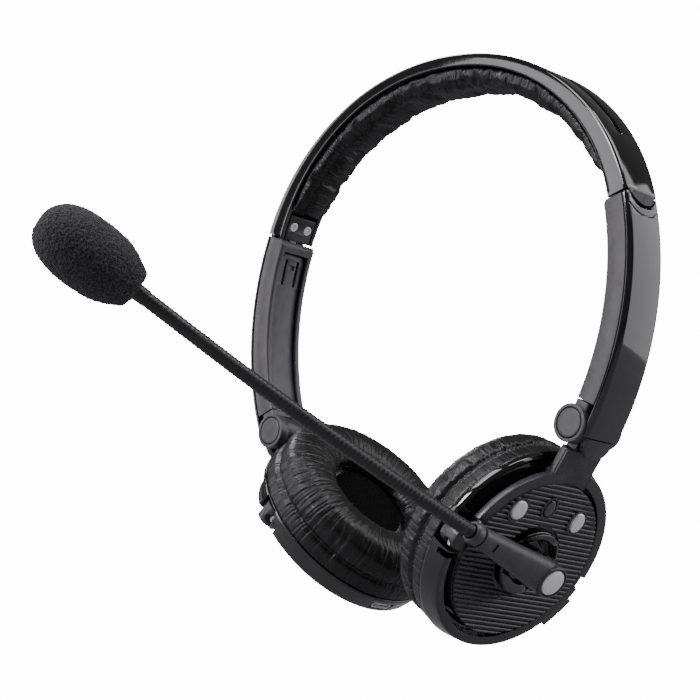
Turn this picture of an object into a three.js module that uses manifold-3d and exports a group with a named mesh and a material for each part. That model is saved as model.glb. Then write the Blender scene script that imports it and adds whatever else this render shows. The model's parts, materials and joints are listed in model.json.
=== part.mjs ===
// Foldable two-ear headset with a gooseneck boom microphone.
// Millimetres, +Z up. The wearer faces -Y, and the wearer's left ear, with the microphone, is at +X.
// The part is laid out from a point on the symmetry plane at the height of the two knuckle axes,
// and the finished group is then lowered, so that the part's origin is the crown of the headband pad.
import * as THREE from "three";
import { mergeVertices } from "three/addons/utils/BufferGeometryUtils.js";
import Module from "manifold-3d";

const wasm = await Module();
wasm.setup();

// ---- driving dimensions ----
const BAND = { halfSpan: 75.3, centreZ: 42.55, rise: 68.45, power: 2.07 };
const ARC = { x: -11.8, z: 38.4, r: 87.5 }; // centre and outer radius of an arm's arc
const SEAM = rad(-16.7); // arc angle of the joint between band and arm, measured down from +X
const SPLIT = rad(28.9); // arc angle where the arm ends and the slider's foot begins
const KNUCKLE = { x: 59.68, z: 0 };
const BAND_HALF_WIDTH = { top: 8.7, seam: 6.9 };
const ARM_HALF_WIDTH = { seam: 6.9, foot: 7.1 };
const ARM_DEPTH = 8.5; // radial thickness of an arm
const BAND_DEPTH = { top: 3.8, seam: 6.8 };
const GAP = 0.3; // clearance between neighbouring pieces
const PAD_THICKNESS = 5.4; // headband pad at the crown
const CUP_HANG = rad(31.6); // lean of a cup's faceplate with its knuckle straight
const EXTRA_FOLD = { left: 0, right: rad(12.4) }; // how far each knuckle is folded in at rest
const EXTRA_TILT = { left: 0, right: rad(-3) }; // how far each cup is tilted on its trunnions at rest
const KNUCKLE_REACH = 40.4; // knuckle axis to faceplate centre, in the faceplate's plane
const KNUCKLE_SET = 3.93; // knuckle axis behind the faceplate's front
const TRUNNION_Z = -3.2; // trunnion axis behind the faceplate's front
const PLATE_R = 24.2;
const RIM = { inner: 25.4, outer: 28.9, z: -1.25 };
const SHELL = { r: 30.3, back: -7.5, floor: -8.6, floorBack: -9.8, spigot: 27.6 };
const PAD = { r: 30, front: -7.8, back: -22.5, hole: 12.4 };
const DIAL = { r: 9.9, hole: 10.3, top: 2.6 };
const NECK_R = 1.95;
const SEGMENTS = 28;

// ---- colours ----
const GLOSS = { color: 0x18181c, roughness: 0.12, metalness: 0.0 };
const SATIN = { color: 0x26262a, roughness: 0.45, metalness: 0.0 };
const LEATHER = { color: 0x17171a, roughness: 0.55, metalness: 0.0 };
const STEEL = { color: 0xb8babd, roughness: 0.25, metalness: 1.0 };
const FOAM = { color: 0x101012, roughness: 0.95, metalness: 0.0 };
const BOARD = { color: 0x1d4a2c, roughness: 0.6, metalness: 0.0 };
const CELL = { color: 0x7c8288, roughness: 0.4, metalness: 0.6 };
const LENS = { color: 0x0a0a0c, roughness: 0.05, metalness: 0.0 };

function rad(degrees) {
  return (degrees * Math.PI) / 180;
}

function mix(a, b, t) {
  return a + (b - a) * t;
}

// ---- solids ----
// A closed three.js geometry as a manifold-3d solid, its faces turned outwards.
function solid(geometry) {
  const bare = geometry.index ? geometry.toNonIndexed() : geometry.clone();
  for (const name of Object.keys(bare.attributes)) {
    if (name !== "position") bare.deleteAttribute(name);
  }
  const merged = mergeVertices(bare, 1e-4);
  const vertProperties = merged.attributes.position.array;
  const triVerts = new Uint32Array(merged.index.array);
  const made = new wasm.Manifold(new wasm.Mesh({ numProp: 3, vertProperties, triVerts }));
  if (made.volume() > 0) return made;
  for (let i = 0; i < triVerts.length; i += 3) {
    [triVerts[i + 1], triVerts[i + 2]] = [triVerts[i + 2], triVerts[i + 1]];
  }
  return new wasm.Manifold(new wasm.Mesh({ numProp: 3, vertProperties, triVerts }));
}

function geometryOf(made) {
  const mesh = made.getMesh();
  const positions = new Float32Array(mesh.numVert * 3);
  for (let i = 0; i < mesh.numVert; i++) {
    positions.set(mesh.vertProperties.subarray(i * mesh.numProp, i * mesh.numProp + 3), i * 3);
  }
  const geometry = new THREE.BufferGeometry();
  geometry.setAttribute("position", new THREE.BufferAttribute(positions, 3));
  geometry.setIndex(new THREE.BufferAttribute(mesh.triVerts.slice(), 1));
  geometry.computeVertexNormals();
  return geometry;
}

function piece(group, name, made, look) {
  const material = new THREE.MeshStandardMaterial(look);
  const mesh = new THREE.Mesh(geometryOf(made), material);
  mesh.name = name;
  group.add(mesh);
}

function union(...parts) {
  return parts.reduce((a, b) => a.add(b));
}

function cut(made, ...tools) {
  return tools.reduce((a, b) => a.subtract(b), made);
}

// A box from its low and high corners.
function box(x0, x1, y0, y1, z0, z1) {
  const geometry = new THREE.BoxGeometry(x1 - x0, y1 - y0, z1 - z0);
  return solid(geometry.translate((x0 + x1) / 2, (y0 + y1) / 2, (z0 + z1) / 2));
}

// A round bar along +Z from z0 to z1.
function rod(r, z0, z1, segments = SEGMENTS) {
  const geometry = new THREE.CylinderGeometry(r, r, z1 - z0, segments);
  return solid(geometry.rotateX(Math.PI / 2).translate(0, 0, (z0 + z1) / 2));
}

// A round bar along Y at (x, z).
function rodY(r, y0, y1, x, z, segments = 18) {
  const geometry = new THREE.CylinderGeometry(r, r, y1 - y0, segments);
  return solid(geometry.translate(x, (y0 + y1) / 2, z));
}

// A solid of revolution about Z from [radius, z] pairs that start and end on the axis or close.
function turned(profile, segments = SEGMENTS) {
  const points = profile.map(([r, z]) => new THREE.Vector2(r, z));
  return solid(new THREE.LatheGeometry(points, segments).rotateX(Math.PI / 2));
}

function move(made, x, y, z) {
  return made.translate([x, y, z]);
}

// A closed body through equal-length rings of points, with a flat cap at each end.
function loft(rings) {
  const n = rings[0].length;
  const positions = rings.flat().flatMap((p) => [p.x, p.y, p.z]);
  const index = [];
  for (let i = 0; i + 1 < rings.length; i++) {
    for (let j = 0; j < n; j++) {
      const a = i * n + j;
      const b = i * n + ((j + 1) % n);
      index.push(a, b, b + n, a, b + n, a + n);
    }
  }
  const last = (rings.length - 1) * n;
  for (const [a, b, c] of capTriangles(rings[0])) index.push(c, b, a);
  for (const [a, b, c] of capTriangles(rings.at(-1))) index.push(last + a, last + b, last + c);
  const geometry = new THREE.BufferGeometry();
  geometry.setAttribute("position", new THREE.Float32BufferAttribute(positions, 3));
  geometry.setIndex(index);
  return solid(geometry);
}

// Triangles that fill a flat ring, in the ring's own order.
function capTriangles(ring) {
  const centre = ring.reduce((sum, p) => sum.clone().add(p)).multiplyScalar(1 / ring.length);
  const normal = new THREE.Vector3();
  ring.forEach((p, i) => {
    const q = ring[(i + 1) % ring.length];
    normal.add(p.clone().sub(centre).cross(q.clone().sub(centre)));
  });
  normal.normalize();
  const u = ring[1].clone().sub(ring[0]).normalize();
  const v = normal.clone().cross(u);
  const flat = ring.map((p) => new THREE.Vector2(p.dot(u), p.dot(v)));
  return THREE.ShapeUtils.triangulateShape(flat, []);
}

// ---- the two curves ----
// A station on a curve: its point on the outer surface and the outward direction there.
// The band runs over the head, from t = 0 at the top to the seam on the +X side.
function bandStation(t) {
  const exponent = 2 / BAND.power;
  const x = BAND.halfSpan * Math.sign(t) * Math.abs(Math.sin(t)) ** exponent;
  const lift = BAND.rise * Math.cos(t) ** exponent;
  const gx = (Math.abs(x) / BAND.halfSpan) ** (BAND.power - 1) / BAND.halfSpan;
  const gz = (lift / BAND.rise) ** (BAND.power - 1) / BAND.rise;
  const out = new THREE.Vector3(Math.sign(t) * gx, 0, gz).normalize();
  return { at: new THREE.Vector3(x, 0, BAND.centreZ + lift), out };
}

function arcStation(angle) {
  const out = new THREE.Vector3(Math.cos(angle), 0, -Math.sin(angle));
  const at = out.clone().multiplyScalar(ARC.r).add(new THREE.Vector3(ARC.x, 0, ARC.z));
  return { at, out };
}

// The [y, depth] outline placed at a station: depth runs inwards from the outer surface.
function ringAt({ at, out }, outline) {
  return outline.map(([y, depth]) => at.clone().addScaledVector(out, -depth).setY(y));
}

function sweep(station, from, to, steps, outlineAt) {
  const rings = [];
  for (let i = 0; i <= steps; i++) {
    const s = mix(from, to, i / steps);
    rings.push(ringAt(station(s), outlineAt(s)));
  }
  return loft(rings);
}

function plate(halfWidth, d0, d1) {
  return [[-halfWidth, d0], [halfWidth, d0], [halfWidth, d1], [-halfWidth, d1]];
}

const SEAM_Z = ARC.z - ARC.r * Math.sin(SEAM);
const BAND_END = Math.acos(((SEAM_Z - BAND.centreZ) / BAND.rise) ** (BAND.power / 2));
const ARC_PER_MM = 1 / ARC.r;

function bandShare(t) {
  return Math.min(Math.abs(t) / BAND_END, 1);
}

function bandHalfWidth(t) {
  return mix(BAND_HALF_WIDTH.top, BAND_HALF_WIDTH.seam, bandShare(t) ** 1.5);
}

function bandDepth(t) {
  return mix(BAND_DEPTH.top, BAND_DEPTH.seam, bandShare(t) ** 2);
}

function armHalfWidth(angle) {
  return mix(ARM_HALF_WIDTH.seam, ARM_HALF_WIDTH.foot, (angle - SEAM) / (SPLIT - SEAM));
}

// A tool placed on an arc station, its own +Z pointing outwards and its +X down the arm.
function onArc(made, angle) {
  const { at, out } = arcStation(angle);
  const down = new THREE.Vector3(-Math.sin(angle), 0, -Math.cos(angle));
  const y = out.clone().cross(down);
  const basis = new THREE.Matrix4().makeBasis(down, y, out).setPosition(at);
  return made.transform(basis.elements);
}

// ---- headband ----
const root = new THREE.Group();
const TONGUE = { r: 5.6, rise: 1.9, room: 0.7 }; // the circle's centre stands above the seam
const SEAM_HALF_GAP = 0.4;
const bandEndInset = SEAM_HALF_GAP / 76;
const WALL = 1.5;
const SKIN = 2.0;

function channel(t) {
  const w = bandHalfWidth(t);
  const h = bandDepth(t);
  const r = 1.1;
  return [
    [-w + r, 0], [w - r, 0], [w, r], [w, h], [w - WALL, h], [w - WALL, SKIN],
    [-w + WALL, SKIN], [-w + WALL, h], [-w, h], [-w, r],
  ];
}

function mirrored(made) {
  return made.mirror([1, 0, 0]);
}

function both(made) {
  return made.add(mirrored(made));
}

function headband() {
  const end = BAND_END - bandEndInset;
  const shell = sweep(bandStation, -end, end, 27, channel);
  const tongue = onArc(move(rod(TONGUE.r, -1.9, -0.15, 24), -TONGUE.rise, 0, 0), SEAM);
  const recess = sweep(bandStation, 0.38, 0.98, 6, () => plate(1.2, -1, 0.8));
  const made = cut(shell.add(both(tongue)), both(recess));
  piece(root, "headband_shell", made, GLOSS);
  const linerEnd = BAND_END - 0.2;
  const liner = sweep(bandStation, -linerEnd, linerEnd, 19, (t) =>
    plate(bandHalfWidth(t) - WALL - GAP, SKIN + GAP, bandDepth(t)));
  piece(root, "headband_liner", liner, SATIN);
  const padEnd = BAND_END - 0.15;
  const padding = sweep(bandStation, -padEnd, padEnd, 23, (t) => {
    const w = bandHalfWidth(t) - 0.9;
    const top = bandDepth(t) + GAP;
    const thick = PAD_THICKNESS * Math.sqrt(Math.max(1 - (t / padEnd) ** 6, 0.06));
    return [[-w, top], [w, top], [w, top + thick * 0.55], [w * 0.72, top + thick],
      [-w * 0.72, top + thick], [-w, top + thick * 0.55]];
  });
  piece(root, "headband_pad", padding, LEATHER);
}

// ---- upper joint: cover plate, two screws and the pivot pin, on the band ----
const COVER_START = 0.13; // band parameter above the seam where the cover plate begins
const SCREW = { head: 1.25, shaft: 0.7, spacing: 2.9, t: 0.075 };

function onBand(made, t, y) {
  const { at, out } = bandStation(t);
  const down = new THREE.Vector3(out.z, 0, -out.x);
  const yAxis = out.clone().cross(down);
  const basis = new THREE.Matrix4().makeBasis(down, yAxis, out).setPosition(at.clone().setY(y));
  return made.transform(basis.elements);
}

function upperJoint(side, suffix) {
  const screwT = BAND_END - SCREW.t;
  const depth = bandDepth(screwT);
  let cover = sweep(bandStation, BAND_END - COVER_START, BAND_END - bandEndInset, 5, (t) =>
    plate(bandHalfWidth(t) - WALL - GAP, bandDepth(t) - 1.5, bandDepth(t)));
  const cross = box(-0.8, 0.8, -0.2, 0.2, -0.3, 1).add(box(-0.2, 0.2, -0.8, 0.8, -0.3, 1));
  for (const [place, y] of [["front", -SCREW.spacing], ["back", SCREW.spacing]]) {
    const hole = rod(SCREW.shaft + GAP, -depth - 1, -depth + 2, 8);
    const sink = rod(SCREW.head + GAP, -depth - 1, -depth + 0.7, 12);
    cover = cut(cover, onBand(hole.add(sink), screwT, y));
    const head = rod(SCREW.head, -depth - 0.25, -depth + 0.4, 12);
    const shaft = rod(SCREW.shaft, -depth + 0.3, -SKIN - GAP, 8);
    const slots = move(cross, 0, 0, -depth - 0.7);
    const screw = onBand(cut(head.add(shaft), slots), screwT, y);
    piece(side, `hinge_screw_${place}_${suffix}`, screw, STEEL);
  }
  piece(side, `hinge_cover_${suffix}`, cover, SATIN);
  const pin = onArc(rod(1.4, -5.0, -SKIN - 0.35, 12), SEAM);
  piece(side, `arm_pivot_${suffix}`, pin, STEEL);
}

// ---- arm: outer cover and inner sleeve, which rock on the pivot ----
const armTop = SEAM + SEAM_HALF_GAP * ARC_PER_MM;
const SLEEVE_END = rad(23.2); // the sleeve's side walls stop here, and the slider's foot begins
const FOOT_R = 5.3;

function kneeTool(r, halfWidth) {
  return rodY(r, -halfWidth, halfWidth, KNUCKLE.x, KNUCKLE.z, 20);
}

function arm(side, suffix) {
  const seat = onArc(move(rod(TONGUE.r + TONGUE.room, -3.3, 1, 24), -TONGUE.rise, 0, 0), SEAM);
  const bossRoom = kneeTool(FOOT_R + GAP, 12);
  const cover = sweep(arcStation, armTop, SPLIT, 14, (a) => {
    const w = armHalfWidth(a);
    return [[-w + 1.2, 0], [w - 1.2, 0], [w + 0.1, 1.1], [w + 0.1, 1.6], [-w - 0.1, 1.6], [-w - 0.1, 1.1]];
  });
  piece(side, `arm_cover_${suffix}`, cut(cover, seat, bossRoom), GLOSS);
  const shell = sweep(arcStation, armTop, SLEEVE_END, 10, (a) => {
    const w = armHalfWidth(a);
    const inner = w - 1.3;
    return [
      [-w, 1.9], [w, 1.9], [w, ARM_DEPTH], [inner - 0.7, ARM_DEPTH], [inner - 0.7, 7.7], [inner, 7.7],
      [inner, 3.2], [-inner, 3.2], [-inner, 7.7], [-inner + 0.7, 7.7], [-inner + 0.7, ARM_DEPTH],
      [-w, ARM_DEPTH],
    ];
  });
  const bridge = sweep(arcStation, armTop, SEAM + 4 * ARC_PER_MM, 2, (a) =>
    plate(armHalfWidth(a) - 0.4, 5.2, ARM_DEPTH));
  const tab = onArc(rod(4.6, -4.9, -3.3, 16).add(box(0.6, 9.5, -4.6, 4.6, -4.9, -3.1)), SEAM);
  const pinRoom = onArc(rod(1.7, -5.5, -2, 12), SEAM);
  const sleeve = cut(cut(shell, seat, bossRoom).add(bridge).add(tab), pinRoom);
  piece(side, `arm_sleeve_${suffix}`, sleeve, SATIN);
}

// ---- slider: curved strip with its click tongue, and the foot that holds the knuckle ----
const SLIDER_TOP = SEAM + 4.6 * ARC_PER_MM;
const EAR = { inner: 5.05, outer: 8.1 };
const PIN = { shaft: 1.5, head: 4.1 };
const FOOT_LIP_HALF_WIDTH = 5.4;

function slider(side, suffix) {
  const strip = sweep(arcStation, SLIDER_TOP, rad(24.2), 10, () => plate(5.1, 5.3, 7.3));
  const slots = [-2.4, 2.4].map((y) =>
    sweep(arcStation, SLIDER_TOP + rad(1.2), SLIDER_TOP + rad(7), 4, () =>
      plate(0.45, 4, 9)).translate([0, y, 0]));
  const block = sweep(arcStation, rad(23.5), rad(25.4), 2, (a) => plate(armHalfWidth(a) - 0.1, 3.6, 8.4));
  const ears = kneeTool(FOOT_R, EAR.outer);
  const lip = sweep(arcStation, SPLIT + rad(0.25), rad(32.9), 6, (a) => {
    const along = (a - SPLIT) / rad(4.05);
    const w = FOOT_LIP_HALF_WIDTH * Math.sqrt(Math.max(1 - along ** 3, 0.02));
    return plate(w, 0, 2.1);
  });
  const barrelRoom = rodY(FOOT_R + 0.05, -EAR.inner, EAR.inner, KNUCKLE.x, KNUCKLE.z, 20);
  const belowLip = sweep(arcStation, rad(24.9), rad(33.5), 6, () => plate(EAR.inner, 2.25, 12));
  const boreRoom = kneeTool(PIN.shaft + GAP, 12);
  const headRoom = [-1, 1].map((s) =>
    rodY(PIN.head + GAP, s > 0 ? 6.9 : -9, s > 0 ? 9 : -6.9, KNUCKLE.x, KNUCKLE.z, 20));
  const foot = cut(union(block, ears, lip), barrelRoom, belowLip, boreRoom, ...headRoom);
  piece(side, `slider_${suffix}`, cut(strip.add(foot), ...slots), SATIN);
  const shaft = kneeTool(PIN.shaft, 8);
  const heads = [-1, 1].map((s) =>
    rodY(PIN.head, s > 0 ? 7.2 : -8.2, s > 0 ? 8.2 : -7.2, KNUCKLE.x, KNUCKLE.z, 20));
  piece(side, `knuckle_pin_${suffix}`, union(shaft, ...heads), GLOSS);
}

// ---- hanger and faceplate, in the faceplate's own frame ----
// Origin at the faceplate's front centre, +Z outwards from the head, +X down, +Y towards the back.
const KNUCKLE_LOCAL = { x: -KNUCKLE_REACH, z: -KNUCKLE_SET };
const HOUSING = { back: -5.6, floor: -4.6, wall: 22.6, top: -1.2 };
const LIP = { r: 27.6, low: -1.9, high: -0.1 }; // smooth rim round the upper front of the faceplate
const CONTROLS = {
  call_button: { x: -14.3, y: -13.3, rx: 2.9, ry: 2.6 },
  indicator_lens: { x: -16.4, y: -2.0, rx: 2.5, ry: 1.9 },
  mute_button: { x: -13.8, y: 11.3, rx: 3.0, ry: 2.3 },
};

function oval({ x, y, rx, ry }, grow, z0, z1) {
  const geometry = new THREE.CylinderGeometry(1, 1, z1 - z0, 16);
  geometry.rotateX(Math.PI / 2).scale(rx + grow, ry + grow, 1);
  return solid(geometry.translate(x, y, (z0 + z1) / 2));
}

function hanger(group, suffix, electronics) {
  const tray = turned([
    [0, HOUSING.back], [PLATE_R, HOUSING.back], [PLATE_R, HOUSING.top], [HOUSING.wall, HOUSING.top],
    [HOUSING.wall, HOUSING.floor], [0, HOUSING.floor],
  ]);
  const tongue = box(-34.3, -22.9, -7.2, 7.2, -3.6, -0.25);
  const neck = box(-39, -33, -4.7, 4.7, -3.8, -0.35);
  const barrel = rodY(4.9, -4.7, 4.7, KNUCKLE_LOCAL.x, KNUCKLE_LOCAL.z, 20);
  const earRoom = rodY(FOOT_R + 0.4, -12, -4.9, KNUCKLE_LOCAL.x, KNUCKLE_LOCAL.z, 20)
    .add(rodY(FOOT_R + 0.4, 4.9, 12, KNUCKLE_LOCAL.x, KNUCKLE_LOCAL.z, 20));
  const bore = rodY(PIN.shaft + GAP, -9, 9, KNUCKLE_LOCAL.x, KNUCKLE_LOCAL.z, 16);
  const trunnionRoom = rodY(1.3, -30, 30, 0, TRUNNION_Z, 12);
  const plateRoom = rod(PLATE_R + GAP, HOUSING.top + 0.05, 2, 32);
  const lip = cut(sector(rad(188), rad(250), 23.4, LIP.r, LIP.low, LIP.high), plateRoom);
  const holder = union(tray, cut(tongue, plateRoom), lip, cut(neck.add(barrel), earRoom));
  const frame = cut(holder, bore, trunnionRoom);
  piece(group, `hanger_${suffix}`, frame, GLOSS);
  let plateSolid = rod(PLATE_R, -0.9, 0, 32);
  if (electronics) {
    const holes = Object.values(CONTROLS).map((c) => oval(c, GAP, -3, 3));
    plateSolid = cut(plateSolid, ...holes, rod(DIAL.hole, -3, 3));
  }
  piece(group, `faceplate_${suffix}`, plateSolid, SATIN);
  for (const [place, s] of [["front", -1], ["back", 1]]) {
    const pin = rodY(1.0, s > 0 ? 21.6 : -28.2, s > 0 ? 28.2 : -21.6, 0, TRUNNION_Z, 12);
    piece(group, `trunnion_pin_${place}_${suffix}`, pin, STEEL);
  }
}

// ---- cup: shell, baffle, driver, cloth and ear pad, in a frame centred on the trunnion axis ----
const OPEN_SECTOR = { from: rad(165), to: rad(256) }; // where the cup's rim is left out, above its front
function cup(group, suffix, withSocket) {
  const z = (value) => value - TRUNNION_Z;
  const bowl = turned([
    [0, z(SHELL.floor)], [RIM.inner, z(SHELL.floor)], [RIM.inner, z(RIM.z)], [RIM.outer, z(RIM.z)],
    [SHELL.r, z(SHELL.back)], [SHELL.spigot, z(SHELL.back)], [SHELL.spigot, z(SHELL.floorBack)],
    [0, z(SHELL.floorBack)],
  ], 36);
  const openTop = sector(OPEN_SECTOR.from, OPEN_SECTOR.to, 20, 40, z(-5.2), z(3));
  const tongueRoom = box(-40, -20, -8.6, 8.6, z(-7.45), z(3));
  const rimGap = sector(rad(76), rad(84), 27, 40, z(-4.6), z(3));
  const notch = sector(rad(274.5), rad(278), 25, 40, z(-4.6), z(3));
  const pinRoom = rodY(1.3, -40, 40, 0, 0, 12);
  const wireHole = move(rod(2.2, z(-12), z(-8), 10), 12, 0, 0);
  let shell = cut(bowl, openTop, tongueRoom, rimGap, notch, pinRoom, wireHole);
  if (withSocket) shell = cut(shell, socketBlock(GAP));
  piece(group, `cup_shell_${suffix}`, shell, GLOSS);
  const baffle = cut(rod(27.3, z(-11.6), z(-10.1)), rod(14, z(-13), z(-9), 20));
  piece(group, `baffle_${suffix}`, baffle, SATIN);
  const driver = turned([
    [0, z(-11.4)], [13.4, z(-11.4)], [13.4, z(-11.9)], [19.5, z(-11.9)], [19.5, z(-13.4)], [16, z(-15)],
    [0, z(-15)],
  ]);
  piece(group, `driver_${suffix}`, driver, CELL);
  piece(group, `driver_cloth_${suffix}`, rod(12, z(-17), z(-15.4), 20), FOAM);
  const pad = turned([
    [PAD.hole, z(-15.3)], [20, z(-15.3)], [20, z(-11.9)], [27.9, z(-11.9)], [27.9, z(PAD.front)],
    [29.7, z(PAD.front)], [PAD.r, z(-13.5)], [29.2, z(-18.5)], [25.6, z(-21.8)], [21, z(PAD.back)],
    [16.6, z(-21.6)], [13.4, z(-18.6)], [PAD.hole, z(-15.3)],
  ], 28);
  piece(group, `ear_pad_${suffix}`, pad, LEATHER);
}

// A sector of a ring about Z, from one angle to another measured from +X towards +Y.
function sector(from, to, r0, r1, z0, z1) {
  const shape = new THREE.Shape();
  shape.absarc(0, 0, r1, from, to, false);
  shape.absarc(0, 0, r0, to, from, true);
  const geometry = new THREE.ExtrudeGeometry(shape, {
    depth: z1 - z0, bevelEnabled: false, curveSegments: 8,
  });
  return solid(geometry.translate(0, 0, z0));
}

// ---- inside the housings, and the controls of the microphone side ----
function electronics(group) {
  const board = cut(rod(21.5, -4.3, -3.5, 24), rod(4.6, -6, 0, 12));
  piece(group, "circuit_board", board, BOARD);
  for (const [name, look] of [["call_button", STEEL], ["mute_button", STEEL]]) {
    const cap = oval(CONTROLS[name], 0, -2.4, 0.6);
    piece(group, name, cap, look);
  }
  piece(group, "indicator_lens", oval(CONTROLS.indicator_lens, 0, -1.6, 0.25), LENS);
}

function battery(group) {
  piece(group, "battery", box(-13, 13, -9, 9, -4.3, -1.4), CELL);
}

// ---- volume key on the microphone side, charging socket on the other ----
const SOCKET = { front: 29.2, back: 25.8, halfWidth: 3.7, low: -5.5, high: -2.9 };

function socketBlock(grow) {
  const { front, back, halfWidth, low, high } = SOCKET;
  const z0 = low - TRUNNION_Z - grow;
  const z1 = high - TRUNNION_Z + grow;
  return box(back - grow, front + grow * 10, -halfWidth - grow, halfWidth + grow, z0, z1);
}

function chargingSocket(group) {
  const middle = (SOCKET.low + SOCKET.high) / 2 - TRUNNION_Z;
  const mouth = box(26.6, 31, -3.1, 3.1, middle - 0.7, middle + 0.7);
  piece(group, "charging_socket", cut(socketBlock(0), mouth), STEEL);
}

function sideKey(group) {
  const key = sector(rad(50), rad(69), 30.1, 31.6, -1.4, 0.9);
  piece(group, "volume_key", key, SATIN);
}

// ---- boom: dial, arm bar, ferrule, gooseneck, microphone capsule and windscreen ----
const BAR = {
  butt: new THREE.Vector3(2.4, 8.4, 6.4),
  ferrule: new THREE.Vector3(-6.8, -28.3, 4.5),
};
const CAP = { r: 3.85, x: 1.0, y: 3.4, z: 8.9 }; // the button on top of the bar's broad end
const NECK = [
  [-6.8, -28.3, 4.5], [-9.8, -40, 2.7], [-17.3, -70, -6.5], [-25, -100, -21.2], [-33.5, -130.6, -41.9],
].map((p) => new THREE.Vector3(...p));
const NECK_DIRECTION = NECK[4].clone().sub(NECK[3]).normalize();

// A frame with +Z along a direction from a point, and +Y kept in the faceplate's plane.
function along(made, from, direction) {
  const z = direction.clone().normalize();
  const x = new THREE.Vector3(0, 0, 1).cross(z).normalize();
  const y = z.clone().cross(x);
  const basis = new THREE.Matrix4().makeBasis(x, y, z).setPosition(from);
  return made.transform(basis.elements);
}

function ovalRing(z, rx, ry, count = 16) {
  const ring = [];
  for (let i = 0; i < count; i++) {
    const a = (i / count) * 2 * Math.PI;
    ring.push(new THREE.Vector3(rx * Math.cos(a), ry * Math.sin(a), z));
  }
  return ring;
}

function boom(group) {
  const dial = turned([
    [0, -2.8], [11.4, -2.8], [11.4, -1.3], [DIAL.r, -1.3], [DIAL.r, 1.8], [8.8, DIAL.top], [0, DIAL.top],
  ]);
  piece(group, "boom_dial", dial, GLOSS);
  const axis = BAR.ferrule.clone().sub(BAR.butt);
  const length = axis.length();
  const bar = along(loft([
    ovalRing(0, 4.2, 2.4), ovalRing(2, 4.8, 3.0), ovalRing(9, 4.9, 3.0), ovalRing(22, 3.9, 2.9),
    ovalRing(length - 2, 3.0, 2.7), ovalRing(length - 0.3, 2.8, 2.6),
  ]), BAR.butt, axis);
  const dialRoom = rod(DIAL.r + 3, -5, DIAL.top + 0.3);
  const { x, y, z } = CAP;
  const bossAtButt = move(rod(CAP.r + 1, DIAL.top + 0.3, z + 0.4, 24), x, y, 0);
  const capCut = move(rod(9, 0.4, 9, 16), x, y, z);
  const capRoom = move(rod(CAP.r + GAP, -1.9, 9, 24), x, y, z);
  piece(group, "boom_bar", cut(cut(bar, dialRoom).add(bossAtButt), capCut, capRoom), SATIN);
  const cap = turned([[0, -1.2], [CAP.r, -1.2], [CAP.r, 0.1], [CAP.r - 1, 0.6], [0, 0.8]], 24);
  piece(group, "boom_button", move(cap, x, y, z), STEEL);
  const first = NECK[1].clone().sub(NECK[0]).normalize();
  const ferrule = turned([[2.15, -0.1], [3.1, -0.1], [3.1, 2.2], [2.6, 2.7], [2.15, 2.7], [2.15, -0.1]], 16);
  piece(group, "boom_ferrule", along(ferrule, NECK[0].clone().addScaledVector(first, 0.5), first), SATIN);
  const path = new THREE.CatmullRomCurve3([NECK[0].clone().addScaledVector(first, 0.5), ...NECK.slice(1)]);
  const circle = new THREE.Shape().absarc(0, 0, NECK_R, 0, 2 * Math.PI, false);
  const neck = new THREE.ExtrudeGeometry(circle, {
    steps: 16, curveSegments: 5, bevelEnabled: false, extrudePath: path,
  });
  piece(group, "gooseneck", solid(neck), SATIN);
  const tip = NECK[4].clone().addScaledVector(NECK_DIRECTION, 0.4);
  const capsule = turned([[0, 0], [3.2, 0], [3.2, 7], [2.6, 7.6], [0, 7.6]], 14);
  piece(group, "microphone_capsule", along(capsule, tip, NECK_DIRECTION), SATIN);
  const foam = turned([
    [3.5, -1.5], [4.7, -1.3], [6.7, 1.4], [8.4, 5], [9.2, 9], [9.4, 13.5], [9.2, 17.6], [8.4, 21.6],
    [6.4, 25.4], [3.4, 27.6], [0, 28.1], [0, 8.2], [3.5, 8.2], [3.5, -1.5],
  ], 20);
  piece(group, "windscreen", along(foam, tip, NECK_DIRECTION), FOAM);
}

// ---- assembly ----
function earSide(suffix, mirror) {
  const side = new THREE.Group();
  side.scale.x = mirror ? -1 : 1;
  upperJoint(side, suffix);
  arm(side, suffix);
  slider(side, suffix);
  const knuckle = new THREE.Group();
  knuckle.position.set(KNUCKLE.x, 0, KNUCKLE.z);
  knuckle.rotation.y = Math.PI / 2 + CUP_HANG + EXTRA_FOLD[suffix];
  const face = new THREE.Group();
  face.position.set(KNUCKLE_REACH, 0, KNUCKLE_SET);
  const cupFrame = new THREE.Group();
  cupFrame.position.set(0, 0, TRUNNION_Z);
  cupFrame.rotation.y = EXTRA_TILT[suffix];
  hanger(face, suffix, !mirror);
  cup(cupFrame, suffix, mirror);
  if (mirror) {
    battery(face);
    chargingSocket(cupFrame);
  } else {
    electronics(face);
    sideKey(cupFrame);
    boom(face);
  }
  face.add(cupFrame);
  knuckle.add(face);
  side.add(knuckle);
  root.add(side);
}

headband();
earSide("left", false);
earSide("right", true);
root.position.z = -(BAND.centreZ + BAND.rise - BAND_DEPTH.top - GAP - PAD_THICKNESS);

export default root;
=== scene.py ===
"""Looks of the headset microphone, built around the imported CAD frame.

Every length is in millimetres until a piece is placed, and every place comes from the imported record's joints
and mounts or from a CAD node's box. The wearer faces -Y, and the microphone side is +X.
"""

import json
import math

import bmesh
import bpy
import numpy as np
from mathutils import Matrix, Vector, noise

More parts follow.
